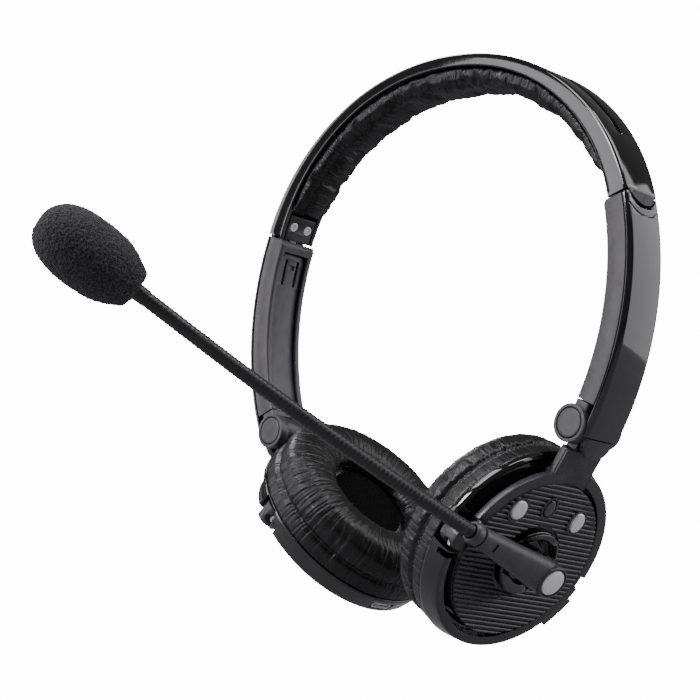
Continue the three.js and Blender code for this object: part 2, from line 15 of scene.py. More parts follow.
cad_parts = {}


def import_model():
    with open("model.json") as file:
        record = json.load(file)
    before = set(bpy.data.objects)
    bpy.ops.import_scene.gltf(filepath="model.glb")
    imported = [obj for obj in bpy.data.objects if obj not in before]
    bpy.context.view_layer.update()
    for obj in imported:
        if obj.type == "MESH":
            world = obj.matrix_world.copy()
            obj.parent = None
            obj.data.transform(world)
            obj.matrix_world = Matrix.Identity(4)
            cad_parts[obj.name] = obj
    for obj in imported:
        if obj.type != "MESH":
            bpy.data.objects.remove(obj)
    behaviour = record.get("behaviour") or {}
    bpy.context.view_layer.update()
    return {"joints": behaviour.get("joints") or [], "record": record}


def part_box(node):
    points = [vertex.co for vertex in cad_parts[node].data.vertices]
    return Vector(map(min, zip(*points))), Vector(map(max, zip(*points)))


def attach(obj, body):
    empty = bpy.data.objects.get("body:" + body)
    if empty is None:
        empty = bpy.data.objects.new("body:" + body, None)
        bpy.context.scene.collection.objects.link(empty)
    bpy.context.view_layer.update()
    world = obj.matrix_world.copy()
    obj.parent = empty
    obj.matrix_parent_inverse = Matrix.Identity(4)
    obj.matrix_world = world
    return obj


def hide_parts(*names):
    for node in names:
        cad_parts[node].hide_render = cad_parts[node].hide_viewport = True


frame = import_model()

MM = 0.001
JOINTS = {j["name"]: j for j in frame["joints"]}
MOUNTS = {m["name"]: m for m in frame["record"]["mounts"]}


def in_mm(point):
    return Vector(point) / MM


# ---- places and driving dimensions, in millimetres ----
ARC_CENTRE = in_mm(JOINTS["left_slide"]["pos_m"])
SEAM_POINT = in_mm(JOINTS["left_arm_rock"]["pos_m"])
ARC_R = (SEAM_POINT - ARC_CENTRE).length
SEAM = math.atan2(ARC_CENTRE.z - SEAM_POINT.z, SEAM_POINT.x - ARC_CENTRE.x)
KNUCKLE = in_mm(JOINTS["left_knuckle_fold"]["pos_m"])
BAND_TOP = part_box("headband_shell")[1].z / MM
BAND_HALF_SPAN = 75.3
BAND_RISE = 68.45
BAND_POWER = 2.07
BAND_CENTRE_Z = BAND_TOP - BAND_RISE
BAND_HALF_WIDTH = (8.7, 6.9)  # at the crown, at the seam
BAND_DEPTH = (3.8, 6.8)
ARM_HALF_WIDTH = (6.9, 7.1)  # at the seam, at the foot
ARM_DEPTH = 8.5
SPLIT = math.radians(28.9)
SLEEVE_END = math.radians(23.2)
WALL = 1.5
SKIN = 2.0
GAP = 0.3
TONGUE_R = 5.6
TONGUE_RISE = 1.9
SEAT_R = 6.3
SEAM_HALF_GAP = 0.4
TRUNNION_Z = -3.2
KNUCKLE_REACH = 40.4
KNUCKLE_SET = 3.93
PLATE_R = 24.2
FOOT_R = 5.3
EAR_INNER, EAR_OUTER = 5.05, 8.1
PIN_R, PIN_HEAD_R = 1.5, 4.1
PER_MM = 1 / ARC_R


def mix(a, b, t):
    return a + (b - a) * t


def clamp(value, low=0.0, high=1.0):
    return max(low, min(high, value))


# ---- the two curves ----
def band_station(t):
    """Point on the band's outer surface and the outward direction there; t is 0 at the crown."""
    exponent = 2 / BAND_POWER
    sign = math.copysign(1, t)
    x = BAND_HALF_SPAN * sign * abs(math.sin(t)) ** exponent
    lift = BAND_RISE * math.cos(t) ** exponent
    gx = (abs(x) / BAND_HALF_SPAN) ** (BAND_POWER - 1) / BAND_HALF_SPAN
    gz = (lift / BAND_RISE) ** (BAND_POWER - 1) / BAND_RISE
    return Vector((x, 0, BAND_CENTRE_Z + lift)), Vector((sign * gx, 0, gz)).normalized()


def arc_station(angle):
    out = Vector((math.cos(angle), 0, -math.sin(angle)))
    return ARC_CENTRE + out * ARC_R, out


BAND_PER_T = 76  # millimetres of band to one unit of t, near its ends
BAND_END = math.acos(((SEAM_POINT.z - BAND_CENTRE_Z) / BAND_RISE) ** (BAND_POWER / 2))
BAND_STOP = BAND_END - SEAM_HALF_GAP / BAND_PER_T
ARM_TOP = SEAM + SEAM_HALF_GAP * PER_MM


def band_share(t):
    return min(abs(t) / BAND_END, 1)


def band_half_width(t):
    return mix(*BAND_HALF_WIDTH, band_share(t) ** 1.5)


def band_depth(t):
    return mix(*BAND_DEPTH, band_share(t) ** 2)


def arm_half_width(angle):
    return mix(*ARM_HALF_WIDTH, (angle - SEAM) / (SPLIT - SEAM))


# ---- frames ----
TO_METRES = Matrix.Scale(MM, 4)
MIRROR = Matrix.Diagonal((-1, 1, 1, 1))


def basis(x, y, z, at):
    rows = [[x[i], y[i], z[i], at[i]] for i in range(3)]
    return Matrix(rows + [[0, 0, 0, 1]])


def on_curve(station, along, y=0.0):
    """+Z outwards, +X down the curve, +Y to the back."""
    at, out = station(along)
    down = Vector((out.z, 0, -out.x))
    return basis(down, out.cross(down), out, at + Vector((0, y, 0)))


AT_SEAM = on_curve(arc_station, SEAM)


def frame_along(at, direction):
    z = direction.normalized()
    x = Vector((0, 0, 1)).cross(z).normalized()
    return basis(x, z.cross(x), z, at)


def facing_y(sign, at):
    """A frame whose own axis points to the back, or to the front with sign -1."""
    return basis(Vector((0, 0, 1)), Vector((sign, 0, 0)), Vector((0, sign, 0)), at)


class Side:
    """The frames of one ear side. The right side is built as a left one and mirrored."""

    def __init__(self, name, centre, normal, tilt):
        self.name = name
        flip = Matrix.Identity(4) if name == "left" else MIRROR
        centre, normal = flip @ centre, flip.to_3x3() @ normal
        self.arm = TO_METRES @ flip
        down = Vector((normal.z, 0, -normal.x))
        self.plate = self.arm @ basis(down, Vector((0, 1, 0)), normal, centre)
        trunnion = Matrix.Translation((0, 0, TRUNNION_Z))
        self.cup = self.plate @ trunnion @ Matrix.Rotation(tilt, 4, "Y") @ trunnion.inverted()

    def add(self, obj, matrix, material, body, node=None, **edges):
        """Places one of this side's pieces: its name, its body and its CAD node carry the side's name."""
        obj.name = f"{obj.name}_{self.name}"
        if body != "band":
            body = f"{self.name}_{body}"
        place(obj, matrix, material, body, node and f"{node}_{self.name}", **edges)


def right_tilt():
    """The right cup rests tilted on its trunnions by what its joint's uneven range shows."""
    low, high = JOINTS["right_cup_tilt"]["range_deg"]
    return math.radians((low + high) / 2)


LEFT = Side("left", in_mm(JOINTS["boom_turn"]["pos_m"]), Vector(JOINTS["boom_turn"]["axis"]), 0.0)
RIGHT = Side(
    "right",
    in_mm(MOUNTS["right_faceplate"]["pos_m"]),
    Vector(MOUNTS["right_faceplate"]["axis"]),
    right_tilt(),
)
SIDES = (LEFT, RIGHT)


# ---- outlines ----
def rounded(points, steps=4):
    """A closed outline of (a, b) or (a, b, radius) corners as (a, b) points, with its corners rounded."""
    outline = []
    for i, (a, b, *radius) in enumerate(points):
        if not any(radius):
            outline.append((a, b))
            continue
        here = Vector((a, b))
        before = (Vector(points[i - 1][:2]) - here).normalized()
        after = (Vector(points[(i + 1) % len(points)][:2]) - here).normalized()
        half = before.angle(after) / 2
        setback = radius[0] / math.tan(half)
        centre = here + (before + after).normalized() * (radius[0] / math.sin(half))
        start, end = here + before * setback - centre, here + after * setback - centre
        turn = start.angle_signed(end)
        for k in range(steps + 1):
            p = centre + Matrix.Rotation(-turn * k / steps, 2) @ start
            outline.append((p.x, p.y))
    return outline


def both_halves(half, steps=4):
    """A rounded outline from the (across, depth, radius) corners of one half."""
    return rounded(half + [(-y, depth, radius) for y, depth, radius in half[::-1]], steps)


def oblong(half_width, d0, d1):
    return [(-half_width, d0), (half_width, d0), (half_width, d1), (-half_width, d1)]


def rounded_box(x0, x1, y0, y1, radius, steps=4):
    return rounded([(x, y, radius) for x, y in ((x0, y0), (x1, y0), (x1, y1), (x0, y1))], steps)


def bar_outline(half_width, d0, d1, radius=0.3):
    return rounded_box(-half_width, half_width, d0, d1, radius, 3)


# ---- meshes ----
WELD = 1e-4  # points closer than this are one
def linked(name, data):
    made = bpy.data.objects.new(name, data)
    bpy.context.scene.collection.objects.link(made)
    return made


def solid(name, verts, faces):
    mesh = bpy.data.meshes.new(name)
    mesh.from_pydata([tuple(v) for v in verts], [], faces)
    bm = bmesh.new()
    bm.from_mesh(mesh)
    bmesh.ops.remove_doubles(bm, verts=bm.verts, dist=WELD)
    bmesh.ops.recalc_face_normals(bm, faces=bm.faces)
    bm.to_mesh(mesh)
    bm.free()
    return linked(name, mesh)


def ring_faces(count, n, closed=False):
    """The quads between neighbours among this many rings of n points."""
    faces = []
    for i in range(count if closed else count - 1):
        a, b = i * n, (i + 1) % count * n
        for j in range(n):
            k = (j + 1) % n
            faces.append((a + j, a + k, b + k, b + j))
    return faces


def loft(name, rings, closed=False):
    """A body through equal rings of points: capped at both ends, or closed on itself."""
    n = len(rings[0])
    verts = [p for ring in rings for p in ring]
    faces = ring_faces(len(rings), n, closed)
    if not closed:
        faces.append(tuple(range(n))[::-1])
        faces.append(tuple(range(len(verts) - n, len(verts))))
    return solid(name, verts, faces)


def sweep(name, station, start, stop, steps, outline_at):
    rings = []
    for i in range(steps + 1):
        s = mix(start, stop, i / steps)
        at, out = station(s)
        rings.append([at - out * depth + Vector((0, y, 0)) for y, depth in outline_at(s)])
    return loft(name, rings)


def turned(name, profile, segments=96):
    """A solid of revolution about Z from a closed outline of (radius, z) points."""
    rings = []
    for k in range(segments):
        a = 2 * math.pi * k / segments
        rings.append([Vector((r * math.cos(a), r * math.sin(a), z)) for r, z in profile])
    return loft(name, rings, closed=True)


AXIS_R = 0.02  # a turned piece starts this far off its axis, so that its outline stays a ring
def lathe(name, corners, segments=96, steps=4):
    """A turned piece without a bore, from the (radius, z, rounding) corners of its outside."""
    start, stop = (AXIS_R, corners[0][1]), (AXIS_R, corners[-1][1])
    return turned(name, rounded([start, *corners, stop], steps), segments)


def block(name, x, y, z):
    corners = [(x[i], y[j], z[k]) for i, j, k in
               [(0, 0, 0), (1, 0, 0), (1, 1, 0), (0, 1, 0), (0, 0, 1), (1, 0, 1), (1, 1, 1), (0, 1, 1)]]
    faces = [(3, 2, 1, 0), (4, 5, 6, 7), (0, 1, 5, 4), (1, 2, 6, 5), (2, 3, 7, 6), (3, 0, 4, 7)]
    return solid(name, corners, faces)


def prism(name, outline, z0, z1, matrix=Matrix.Identity(4)):
    """A flat (x, y) outline raised from z0 to z1."""
    return moved(loft(name, [[Vector((x, y, z)) for x, y in outline] for z in (z0, z1)]), matrix)


def circle(radius, count=48, x=0.0, y=0.0, ry=None):
    angles = [2 * math.pi * k / count for k in range(count)]
    return [(x + radius * math.cos(a), y + (ry or radius) * math.sin(a)) for a in angles]


def rod_y(name, radius, y0, y1, x, z, count=48):
    rings = [[Vector((p, y, q)) for p, q in circle(radius, count, x, z)] for y in (y0, y1)]
    return loft(name, rings)


def sector(name, start, stop, r0, r1, z0, z1, steps=24):
    """A piece of a ring about Z, its angles in degrees from +X towards +Y."""
    outline = []
    for radius, a, b in ((r1, start, stop), (r0, stop, start)):
        for k in range(steps + 1):
            angle = math.radians(mix(a, b, k / steps))
            outline.append((radius * math.cos(angle), radius * math.sin(angle)))
    return prism(name, outline, z0, z1)


def moved(obj, matrix):
    obj.data.transform(matrix)
    if matrix.determinant() < 0:
        obj.data.flip_normals()
    return obj


def settle(obj):
    """Puts the result of an object's modifiers into its mesh."""
    graph = bpy.context.evaluated_depsgraph_get()
    graph.update()
    mesh = bpy.data.meshes.new_from_object(obj.evaluated_get(graph), depsgraph=graph)
    old = obj.data
    obj.modifiers.clear()
    obj.data = mesh
    bpy.data.meshes.remove(old)
    return obj


def combine(obj, tools, operation):
    for tool in tools:
        modifier = obj.modifiers.new(operation, "BOOLEAN")
        modifier.operation = operation
        modifier.solver = "EXACT"
        modifier.object = tool
        settle(obj)
        bpy.data.objects.remove(tool)
    return obj


def cut(obj, *tools):
    return combine(obj, tools, "DIFFERENCE")


def union(obj, *tools):
    return combine(obj, tools, "UNION")


def common(obj, tool):
    return combine(obj, [tool], "INTERSECT")


def place(obj, matrix, material, body, node=None, slot=None, bevel=0.0, sharp=42, segments=2):
    """Puts a finished shape into the frame, on its body, in place of its CAD node, with its edges rounded.

    Its slot has the name of its material. The slot argument is not used.
    """
    moved(obj, matrix)
    obj.data.materials.clear()
    obj.data.materials.append(material)
    if bevel:
        modifier = obj.modifiers.new("edge", "BEVEL")
        modifier.width = bevel * MM
        modifier.segments = segments
        modifier.limit_method = "ANGLE"
        modifier.angle_limit = math.radians(sharp)
        modifier.miter_outer = "MITER_ARC"
        settle(obj)
    obj.data.shade_smooth()
    obj.data.set_sharp_from_angle(angle=math.radians(sharp))
    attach(obj, body)
    if node:
        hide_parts(node)
    return obj


# ---- materials ----
class Shader:
    """A Principled material whose pattern is laid out in the piece's own millimetres."""

    def __init__(self, name):
        self.material = bpy.data.materials.new(name)
        self.material.use_nodes = True
        self.tree = self.material.node_tree
        self.surface = self.tree.nodes["Principled BSDF"]
        metres = self.node("ShaderNodeTexCoord").outputs["Object"]
        scaled = self.node("ShaderNodeVectorMath", operation="SCALE", Vector=metres, Scale=1 / MM)
        self.mm = scaled.outputs["Vector"]

    def feed(self, socket, value):
        if isinstance(value, bpy.types.NodeSocket):
            self.tree.links.new(value, socket)
        else:
            socket.default_value = value

    def node(self, kind, **values):
        """Adds a node. A capitalised name is one of its inputs, any other one of its settings."""
        made = self.tree.nodes.new(kind)
        for key, value in values.items():
            if key[0].isupper():
                self.feed(made.inputs[key.replace("_", " ")], value)
            else:
                setattr(made, key, value)
        return made

    def noise(self, size, detail=4.0, rough=0.55, vector=None):
        """Cloudy pattern with features of about this size in millimetres."""
        made = self.node("ShaderNodeTexNoise", Vector=vector or self.mm, Scale=1 / size, Detail=detail,
                         Roughness=rough)
        return made.outputs["Fac"]

    def cells(self, size):
        return self.node("ShaderNodeTexVoronoi", Vector=self.mm, Scale=1 / size).outputs["Distance"]

    def spread(self, value, low, high):
        """Stretches the middle of a cloudy pattern over a range of values."""
        made = self.node("ShaderNodeMapRange", Value=value, From_Min=0.3, From_Max=0.7, To_Min=low,
                         To_Max=high)
        return made.outputs["Result"]

    def math(self, operation, *values):
        made = self.node("ShaderNodeMath", operation=operation)
        for socket, value in zip(made.inputs, values):
            self.feed(socket, value)
        return made.outputs["Value"]

    def sum(self, a, b, share):
        return self.math("MULTIPLY_ADD", b, share, a)

    def tint(self, value, dark, light, start=0.3, stop=0.7):
        ramp = self.node("ShaderNodeValToRGB", Fac=value)
        ends = ramp.color_ramp.elements
        ends[0].position, ends[1].position = start, stop
        ends[0].color, ends[1].color = (*dark, 1), (*light, 1)
        self.set(Base_Color=ramp.outputs["Color"])

    def set(self, **values):
        for key, value in values.items():
            self.feed(self.surface.inputs[key.replace("_", " ")], value)

    def bump(self, height, depth, strength=1.0, base=None):
        """Raises the surface by height times depth millimetres."""
        made = self.node("ShaderNodeBump", Height=height, Strength=strength, Distance=depth * MM)
        if base is not None:
            self.feed(made.inputs["Normal"], base)
        self.set(Normal=made.outputs["Normal"])
        return made.outputs["Normal"]


def gray(value):
    return (value, value * 0.96, value * 1.08)


def gloss_black():
    s = Shader("gloss_black")
    s.tint(s.noise(9.0), gray(0.0045), gray(0.0085))
    smear = s.noise(3.5, detail=6, rough=0.65)
    s.set(Roughness=s.spread(smear, 0.04, 0.11), Specular_IOR_Level=0.55)
    s.set(Coat_Weight=0.6, Coat_Roughness=0.02)
    peel = s.bump(s.noise(1.6, detail=2), 0.012)
    s.bump(s.noise(0.12, detail=2), 0.0015, base=peel)
    return s.material


def satin(name, dark, light, low, high, grain=0.14, depth=0.008):
    s = Shader(name)
    s.tint(s.noise(6.0, detail=5), gray(dark), gray(light))
    s.set(Roughness=s.spread(s.noise(2.4, detail=6), low, high), Specular_IOR_Level=0.5)
    wavy = s.bump(s.noise(3.0, detail=2), 0.015)
    s.bump(s.noise(grain, detail=3, rough=0.7), depth, base=wavy)
    return s.material


def leatherette():
    """Fine wrinkles run across each pad, laid out by the fold coordinates stored on its mesh."""
    s = Shader("leatherette")
    across = s.node("ShaderNodeAttribute", attribute_name="folds").outputs["Vector"]

    def crease(size, width):
        away = s.math("SUBTRACT", s.noise(size, detail=1, vector=across), 0.5)
        return s.math("MINIMUM", s.math("ABSOLUTE", away), width)

    creases = s.sum(crease(2.2, 0.1), crease(1.3, 0.08), 0.3)
    # The creases are painted darker than the rolls between them: painted shade in the folds.
    s.tint(creases, gray(0.002), gray(0.008), 0.0, 0.12)
    s.set(Roughness=s.spread(s.noise(2.2), 0.30, 0.42), Specular_IOR_Level=0.42)
    s.set(Sheen_Weight=0.02, Sheen_Roughness=0.4)
    wrinkled = s.bump(creases, 1.4)
    s.bump(s.noise(0.25, detail=3, rough=0.7), 0.01, base=wrinkled)
    return s.material


def windscreen_foam():
    s = Shader("windscreen_foam")
    pores = s.cells(0.55)
    clumps = s.noise(0.34, detail=6, rough=0.75)
    # Painted shade and highlight: the sunken pores are painted dark, and the raised clumps are painted light
    # as highlight specks.
    s.tint(s.sum(clumps, pores, 0.4), gray(0.003), gray(0.09), 0.50, 1.0)
    s.set(Roughness=s.spread(clumps, 0.75, 0.98), Specular_IOR_Level=0.25, Sheen_Weight=0.12)
    coarse = s.bump(pores, 0.35, strength=0.9)
    s.bump(clumps, 0.3, base=coarse)
    return s.material


def acoustic_cloth():
    s = Shader("driver_cloth")
    weave = s.sum(s.cells(0.5), s.noise(0.3, detail=5), 0.6)
    s.tint(weave, gray(0.001), gray(0.005), 0.2, 0.8)
    s.set(Roughness=s.spread(s.noise(1.2), 0.8, 0.97), Specular_IOR_Level=0.05)
    s.bump(weave, 0.2)
    return s.material


def metal(name, color, low, high, metallic=1.0):
    s = Shader(name)
    brushed = s.node("ShaderNodeVectorMath", operation="MULTIPLY", Vector=s.mm)
    brushed.inputs[1].default_value = (0.4, 5.0, 0.4)
    streaks = s.noise(0.5, detail=5, vector=brushed.outputs["Vector"])
    s.tint(streaks, tuple(c * 0.82 for c in color), color)
    s.set(Roughness=s.spread(streaks, low, high), Metallic=metallic)
    s.bump(streaks, 0.004)
    return s.material


def dark_lens():
    s = Shader("dark_lens")
    s.tint(s.noise(1.4), (0.006, 0.007, 0.010), (0.014, 0.015, 0.020))
    s.set(Roughness=s.spread(s.noise(0.8), 0.04, 0.1), Coat_Weight=1.0, Coat_Roughness=0.02)
    s.bump(s.noise(0.9), 0.004)
    return s.material


def circuit_board():
    s = Shader("board_green")
    tracks = s.node("ShaderNodeTexBrick", Vector=s.mm, Scale=0.35, Color1=(0.012, 0.085, 0.030, 1),
                    Color2=(0.018, 0.110, 0.042, 1), Mortar=(0.05, 0.20, 0.09, 1))
    s.set(Base_Color=tracks.outputs["Color"], Roughness=s.spread(s.noise(1.5), 0.3, 0.5))
    s.bump(tracks.outputs["Fac"], 0.03)
    return s.material


GLOSS = gloss_black()
SATIN = satin("satin_black", 0.011, 0.020, 0.30, 0.46)
MOULDED = satin("satin_gray", 0.045, 0.066, 0.28, 0.42)
RIBBED = satin("ribbed_black", 0.030, 0.046, 0.24, 0.38, grain=0.2, depth=0.003)
NECK = satin("gooseneck_black", 0.010, 0.018, 0.34, 0.50)
LEATHER = leatherette()
FOAM = windscreen_foam()
CLOTH = acoustic_cloth()
SILVER = metal("silver_button", (0.94, 0.94, 0.97), 0.25, 0.4, metallic=0.35)
STEEL = metal("steel", (0.80, 0.81, 0.83), 0.25, 0.45, metallic=0.55)
SCREW = metal("bright_steel", (0.95, 0.95, 0.97), 0.2, 0.35, metallic=0.2)
LENS = dark_lens()
BOARD = circuit_board()
WRAP = metal("cell_wrap", (0.45, 0.47, 0.50), 0.3, 0.5)


# ---- headband ----
def channel_outline(t):
    w, h = band_half_width(t), band_depth(t)
    inner = w - WALL
    return both_halves([(w, 0, 1.1), (w, h, 0.4), (inner, h, 0.3), (inner, SKIN, 0.3)])


def recess_tool(sign):
    """The long recess in the outer shell, rounded off at both ends."""
    start, stop, steps = 0.38, 0.98, 60
    half_width, round_end = 1.2, 0.022
    rings = []
    for i in range(steps + 1):
        t = mix(start, stop, 0.5 - 0.5 * math.cos(math.pi * i / steps))
        share = clamp(min(t - start, stop - t) / round_end, 0.02)
        w = half_width * math.sqrt(1 - (1 - share) ** 2)
        at, out = band_station(sign * t)
        rings.append([at - out * depth + Vector((0, y, 0)) for y, depth in oblong(w, -1, 0.8)])
    return loft("recess", rings)


def tongue(side):
    """The rounded end of the band's outer skin, with a lens-shaped facet that rises towards its lip."""
    disc = circle(TONGUE_R, 96, -TONGUE_RISE)
    made = prism("band_tongue", disc, -1.9, -0.04)
    made = cut(made, block("under_band", (-20, -0.8), (-20, 20), (-0.8, 9)))
    lens = common(prism("lens", disc, -1.5, 1.5), prism("lens", circle(6.6, 96, 5.3), -1.6, 1.6))
    slope = Matrix.Translation((-1.3, 0, -0.12)) @ Matrix.Rotation(math.radians(-7), 4, "Y")
    lens = cut(lens, moved(block("above", (-20, 20), (-20, 20), (0, 9)), slope))
    # The tongue gets the lighter ribbed satin instead of the band's gloss black: its lighter grey is a painted
    # highlight for the light on its slanted facet.
    side.add(union(made, lens), side.arm @ AT_SEAM, RIBBED, "band", slot="gloss_black", sharp=5)


def headband_shell():
    shell = sweep("headband_shell_moulding", band_station, -BAND_STOP, BAND_STOP, 150, channel_outline)
    shell = cut(shell, recess_tool(1), recess_tool(-1))
    place(shell, TO_METRES, GLOSS, "band", "headband_shell", bevel=0.22)
    for side in SIDES:
        tongue(side)


def liner_half_width(t):
    return band_half_width(t) - WALL - GAP


def headband_liner():
    stop = BAND_END - 0.2
    liner = sweep("headband_liner_strip", band_station, -stop, stop, 120, lambda t: bar_outline(
        liner_half_width(t), SKIN + GAP, band_depth(t) - 0.15, 0.35))
    place(liner, TO_METRES, SATIN, "band", "headband_liner")


def hinge_screw(side, where, matrix):
    """A pan-head screw with a crossed driver recess; its head faces down its own axis."""
    made = lathe("screw", [(1.5, -0.25, 0.22), (1.5, 0.4), (0.7, 0.4), (0.7, 3.4)], 40)
    for x, y in ((0.95, 0.2), (0.2, 0.95)):
        made = cut(made, block("driver_slot", (-x, x), (-y, y), (-0.6, 0.1)))
    made.name = f"screw_{where}"
    side.add(made, side.arm @ matrix, SCREW, "band", f"hinge_screw_{where}", bevel=0.05, sharp=40)


def hinge_cover(side):
    screw_t = BAND_END - 0.075
    depth = band_depth(screw_t)
    cover = sweep("hinge_plate", band_station, BAND_END - 0.13, BAND_STOP, 12, lambda t: bar_outline(
        liner_half_width(t), band_depth(t) - 1.5, band_depth(t)))
    for where, y in (("front", -2.9), ("back", 2.9)):
        matrix = on_curve(band_station, screw_t, y)
        cut(cover, prism("sink", circle(1.65, 40), -depth - 1, -depth + 0.8, matrix))
        hinge_screw(side, where, matrix @ Matrix.Translation((0, 0, -depth + 0.05)))
    side.add(cover, side.arm, SATIN, "band", "hinge_cover", bevel=0.12)
    pin = lathe("arm_pivot_pin", [(1.4, -5.0, 0.25), (1.4, -2.35, 0.1)], 40)
    side.add(pin, side.arm @ AT_SEAM, STEEL, "band", "arm_pivot")


# ---- arms ----
def seat_room():
    return prism("seat", circle(SEAT_R, 96, -TONGUE_RISE), -3.3, 3, AT_SEAM)


def knuckle_rod(name, radius, half_width):
    return rod_y(name, radius, -half_width, half_width, KNUCKLE.x, KNUCKLE.z, 72)


def foot_room():
    return knuckle_rod("room", FOOT_R + GAP, 12)


def corner_chamfer():
    """The small slanted cut on an arm's upper inner corner."""
    at, out = arc_station(ARM_TOP)
    down = Vector((out.z, 0, -out.x))
    y = Vector((0, 1, 0))
    corner = at - out * ARM_DEPTH + y * arm_half_width(ARM_TOP)
    ring = [corner + down * along + out * above for along, above in ((-0.5, 1.7), (1.5, -0.2), (-0.5, -0.2))]
    return loft("chamfer", [[p - y * 20 for p in ring], [p + y * 2 for p in ring]])


def arm(side):
    cover = sweep("arm_shell", arc_station, ARM_TOP, SPLIT, 64, lambda a: both_halves(
        [(arm_half_width(a), 0, 1.5), (arm_half_width(a) + 0.1, 1.55, 0.12)], 5))
    crease = moved(sector("crease", -52, 52, 8.2, 8.6, -0.45, 3),
                   AT_SEAM @ Matrix.Translation((-TONGUE_RISE, 0, 0)))
    cover = cut(cover, seat_room(), foot_room(), crease)
    side.add(cover, side.arm, GLOSS, "arm", "arm_cover", bevel=0.16)

    def sleeve_outline(a):
        w = arm_half_width(a)
        inner = w - 1.3
        lip = inner - 0.7
        return both_halves([(w, 1.95, 0.2), (w, ARM_DEPTH, 0.7), (lip, ARM_DEPTH, 0.25), (lip, 7.7, 0.1),
                            (inner, 7.7, 0.1), (inner, 3.2, 0.2)], 3)

    sleeve = sweep("arm_body", arc_station, ARM_TOP, SLEEVE_END, 56, sleeve_outline)
    bridge = sweep("bridge", arc_station, ARM_TOP, SEAM + 4 * PER_MM, 4, lambda a: bar_outline(
        arm_half_width(a) - 0.35, 5.2, ARM_DEPTH))
    tab = prism("tab", circle(4.6, 48), -4.9, -3.3, AT_SEAM)
    tab_strip = moved(block("tab_strip", (0.6, 9.5), (-4.6, 4.6), (-4.9, -3.1)), AT_SEAM)
    sleeve = cut(sleeve, seat_room(), foot_room())
    sleeve = union(sleeve, bridge, tab, tab_strip)
    sleeve = cut(sleeve, prism("pin_room", circle(1.7, 40), -5.5, -2, AT_SEAM), corner_chamfer())
    side.add(sleeve, side.arm, MOULDED, "arm", "arm_sleeve", bevel=0.18)


# ---- sliders and knuckles ----
SLIDER_TOP = SEAM + 4.6 * PER_MM
LIP_START = SPLIT + math.radians(0.25)
LIP_STOP = math.radians(32.9)
LIP_HALF_WIDTH = 5.4
CAP_IN, CAP_OUT = 7.2, 8.2  # the pin's heads stand between these distances from the middle
def slider(side):
    top = SLIDER_TOP + 0.05 * PER_MM

    def strip_outline(a):
        share = clamp((a - top) * ARC_R / 2.6, 0.04)
        return bar_outline(5.1 * math.sqrt(1 - 0.55 * (1 - share) ** 2), 5.3, 7.3, 0.35)

    def arc_room(start, stop, steps, half_width, d0, d1):
        return sweep("room", arc_station, start, stop, steps, lambda a: oblong(half_width, d0, d1))

    strip = sweep("slider_rail", arc_station, top, math.radians(24.2), 64, strip_outline)
    slots = []
    for y in (-2.4, 2.4):
        slot = arc_room(SLIDER_TOP + math.radians(1.2), SLIDER_TOP + math.radians(7), 12, 0.45, 4, 9)
        slots.append(moved(slot, Matrix.Translation((0, y, 0))))
    window = arc_room(SLIDER_TOP + math.radians(2.3), SLIDER_TOP + math.radians(3.3), 6, 1.2, 6.7, 9)
    strip = cut(strip, *slots, window)
    body = sweep("body", arc_station, math.radians(23.5), math.radians(25.4), 8, lambda a: bar_outline(
        arm_half_width(a) - 0.1, 3.6, 8.4, 0.6))

    def lip_outline(a):
        along = (a - SPLIT) / (LIP_STOP - SPLIT)
        w = LIP_HALF_WIDTH * math.sqrt(max(1 - along ** 3, 0.012))
        return bar_outline(w, 0.0, 2.1, min(0.5, w * 0.3))

    foot = union(body, knuckle_rod("ears", FOOT_R, EAR_OUTER),
                 sweep("lip", arc_station, LIP_START, LIP_STOP, 40, lip_outline))
    below_lip = arc_room(math.radians(24.9), math.radians(33.5), 12, EAR_INNER, 2.25, 12)
    heads = [rod_y("room", PIN_HEAD_R + GAP, *ends, KNUCKLE.x, KNUCKLE.z, 72)
             for ends in ((-9.0, -6.9), (6.9, 9.0))]
    foot = cut(foot, knuckle_rod("room", FOOT_R + 0.05, EAR_INNER), below_lip,
               knuckle_rod("room", PIN_R + GAP, 12), *heads)
    side.add(union(strip, foot), side.arm, MOULDED, "slider", "slider", bevel=0.25)
    pin = knuckle_rod("knuckle_caps", PIN_R, 8)
    for sign in (-1, 1):
        cap = lathe("cap", [(PIN_HEAD_R, CAP_IN, 0.1), (PIN_HEAD_R, CAP_OUT - 0.05, 0.35),
                            (3.3, CAP_OUT, 0.3)], 72, 5)
        pin = union(pin, moved(cap, facing_y(sign, KNUCKLE)))
    side.add(pin, side.arm, MOULDED, "slider", "knuckle_pin")


# ---- hangers and faceplates ----
HOUSING_BACK, HOUSING_FLOOR, HOUSING_WALL, HOUSING_TOP = -5.6, -4.6, 22.6, -1.2
PLATE_BACK = -0.88
CONTROLS = {  # place and half sizes on the plate
    "call_button": (-14.3, -13.3, 2.9, 2.6),
    "indicator_lens": (-16.4, -2.0, 2.5, 1.9),
    "mute_button": (-13.8, 11.3, 3.0, 2.3),
}
DIAL_HOLE = 10.3
RIB_PITCH, RIB_DEPTH, SLAB_BACK = 1.42, 0.72, -1.6
RIB_PROFILE = ((0.0, 0.0), (0.32, 0.0), (0.37, 0.68), (0.55, 1.0), (0.82, 1.0), (0.9, 0.82), (0.98, 0.0))


def plate_room():
    return prism("room", circle(PLATE_R + GAP, 128), HOUSING_TOP + 0.05, 2)


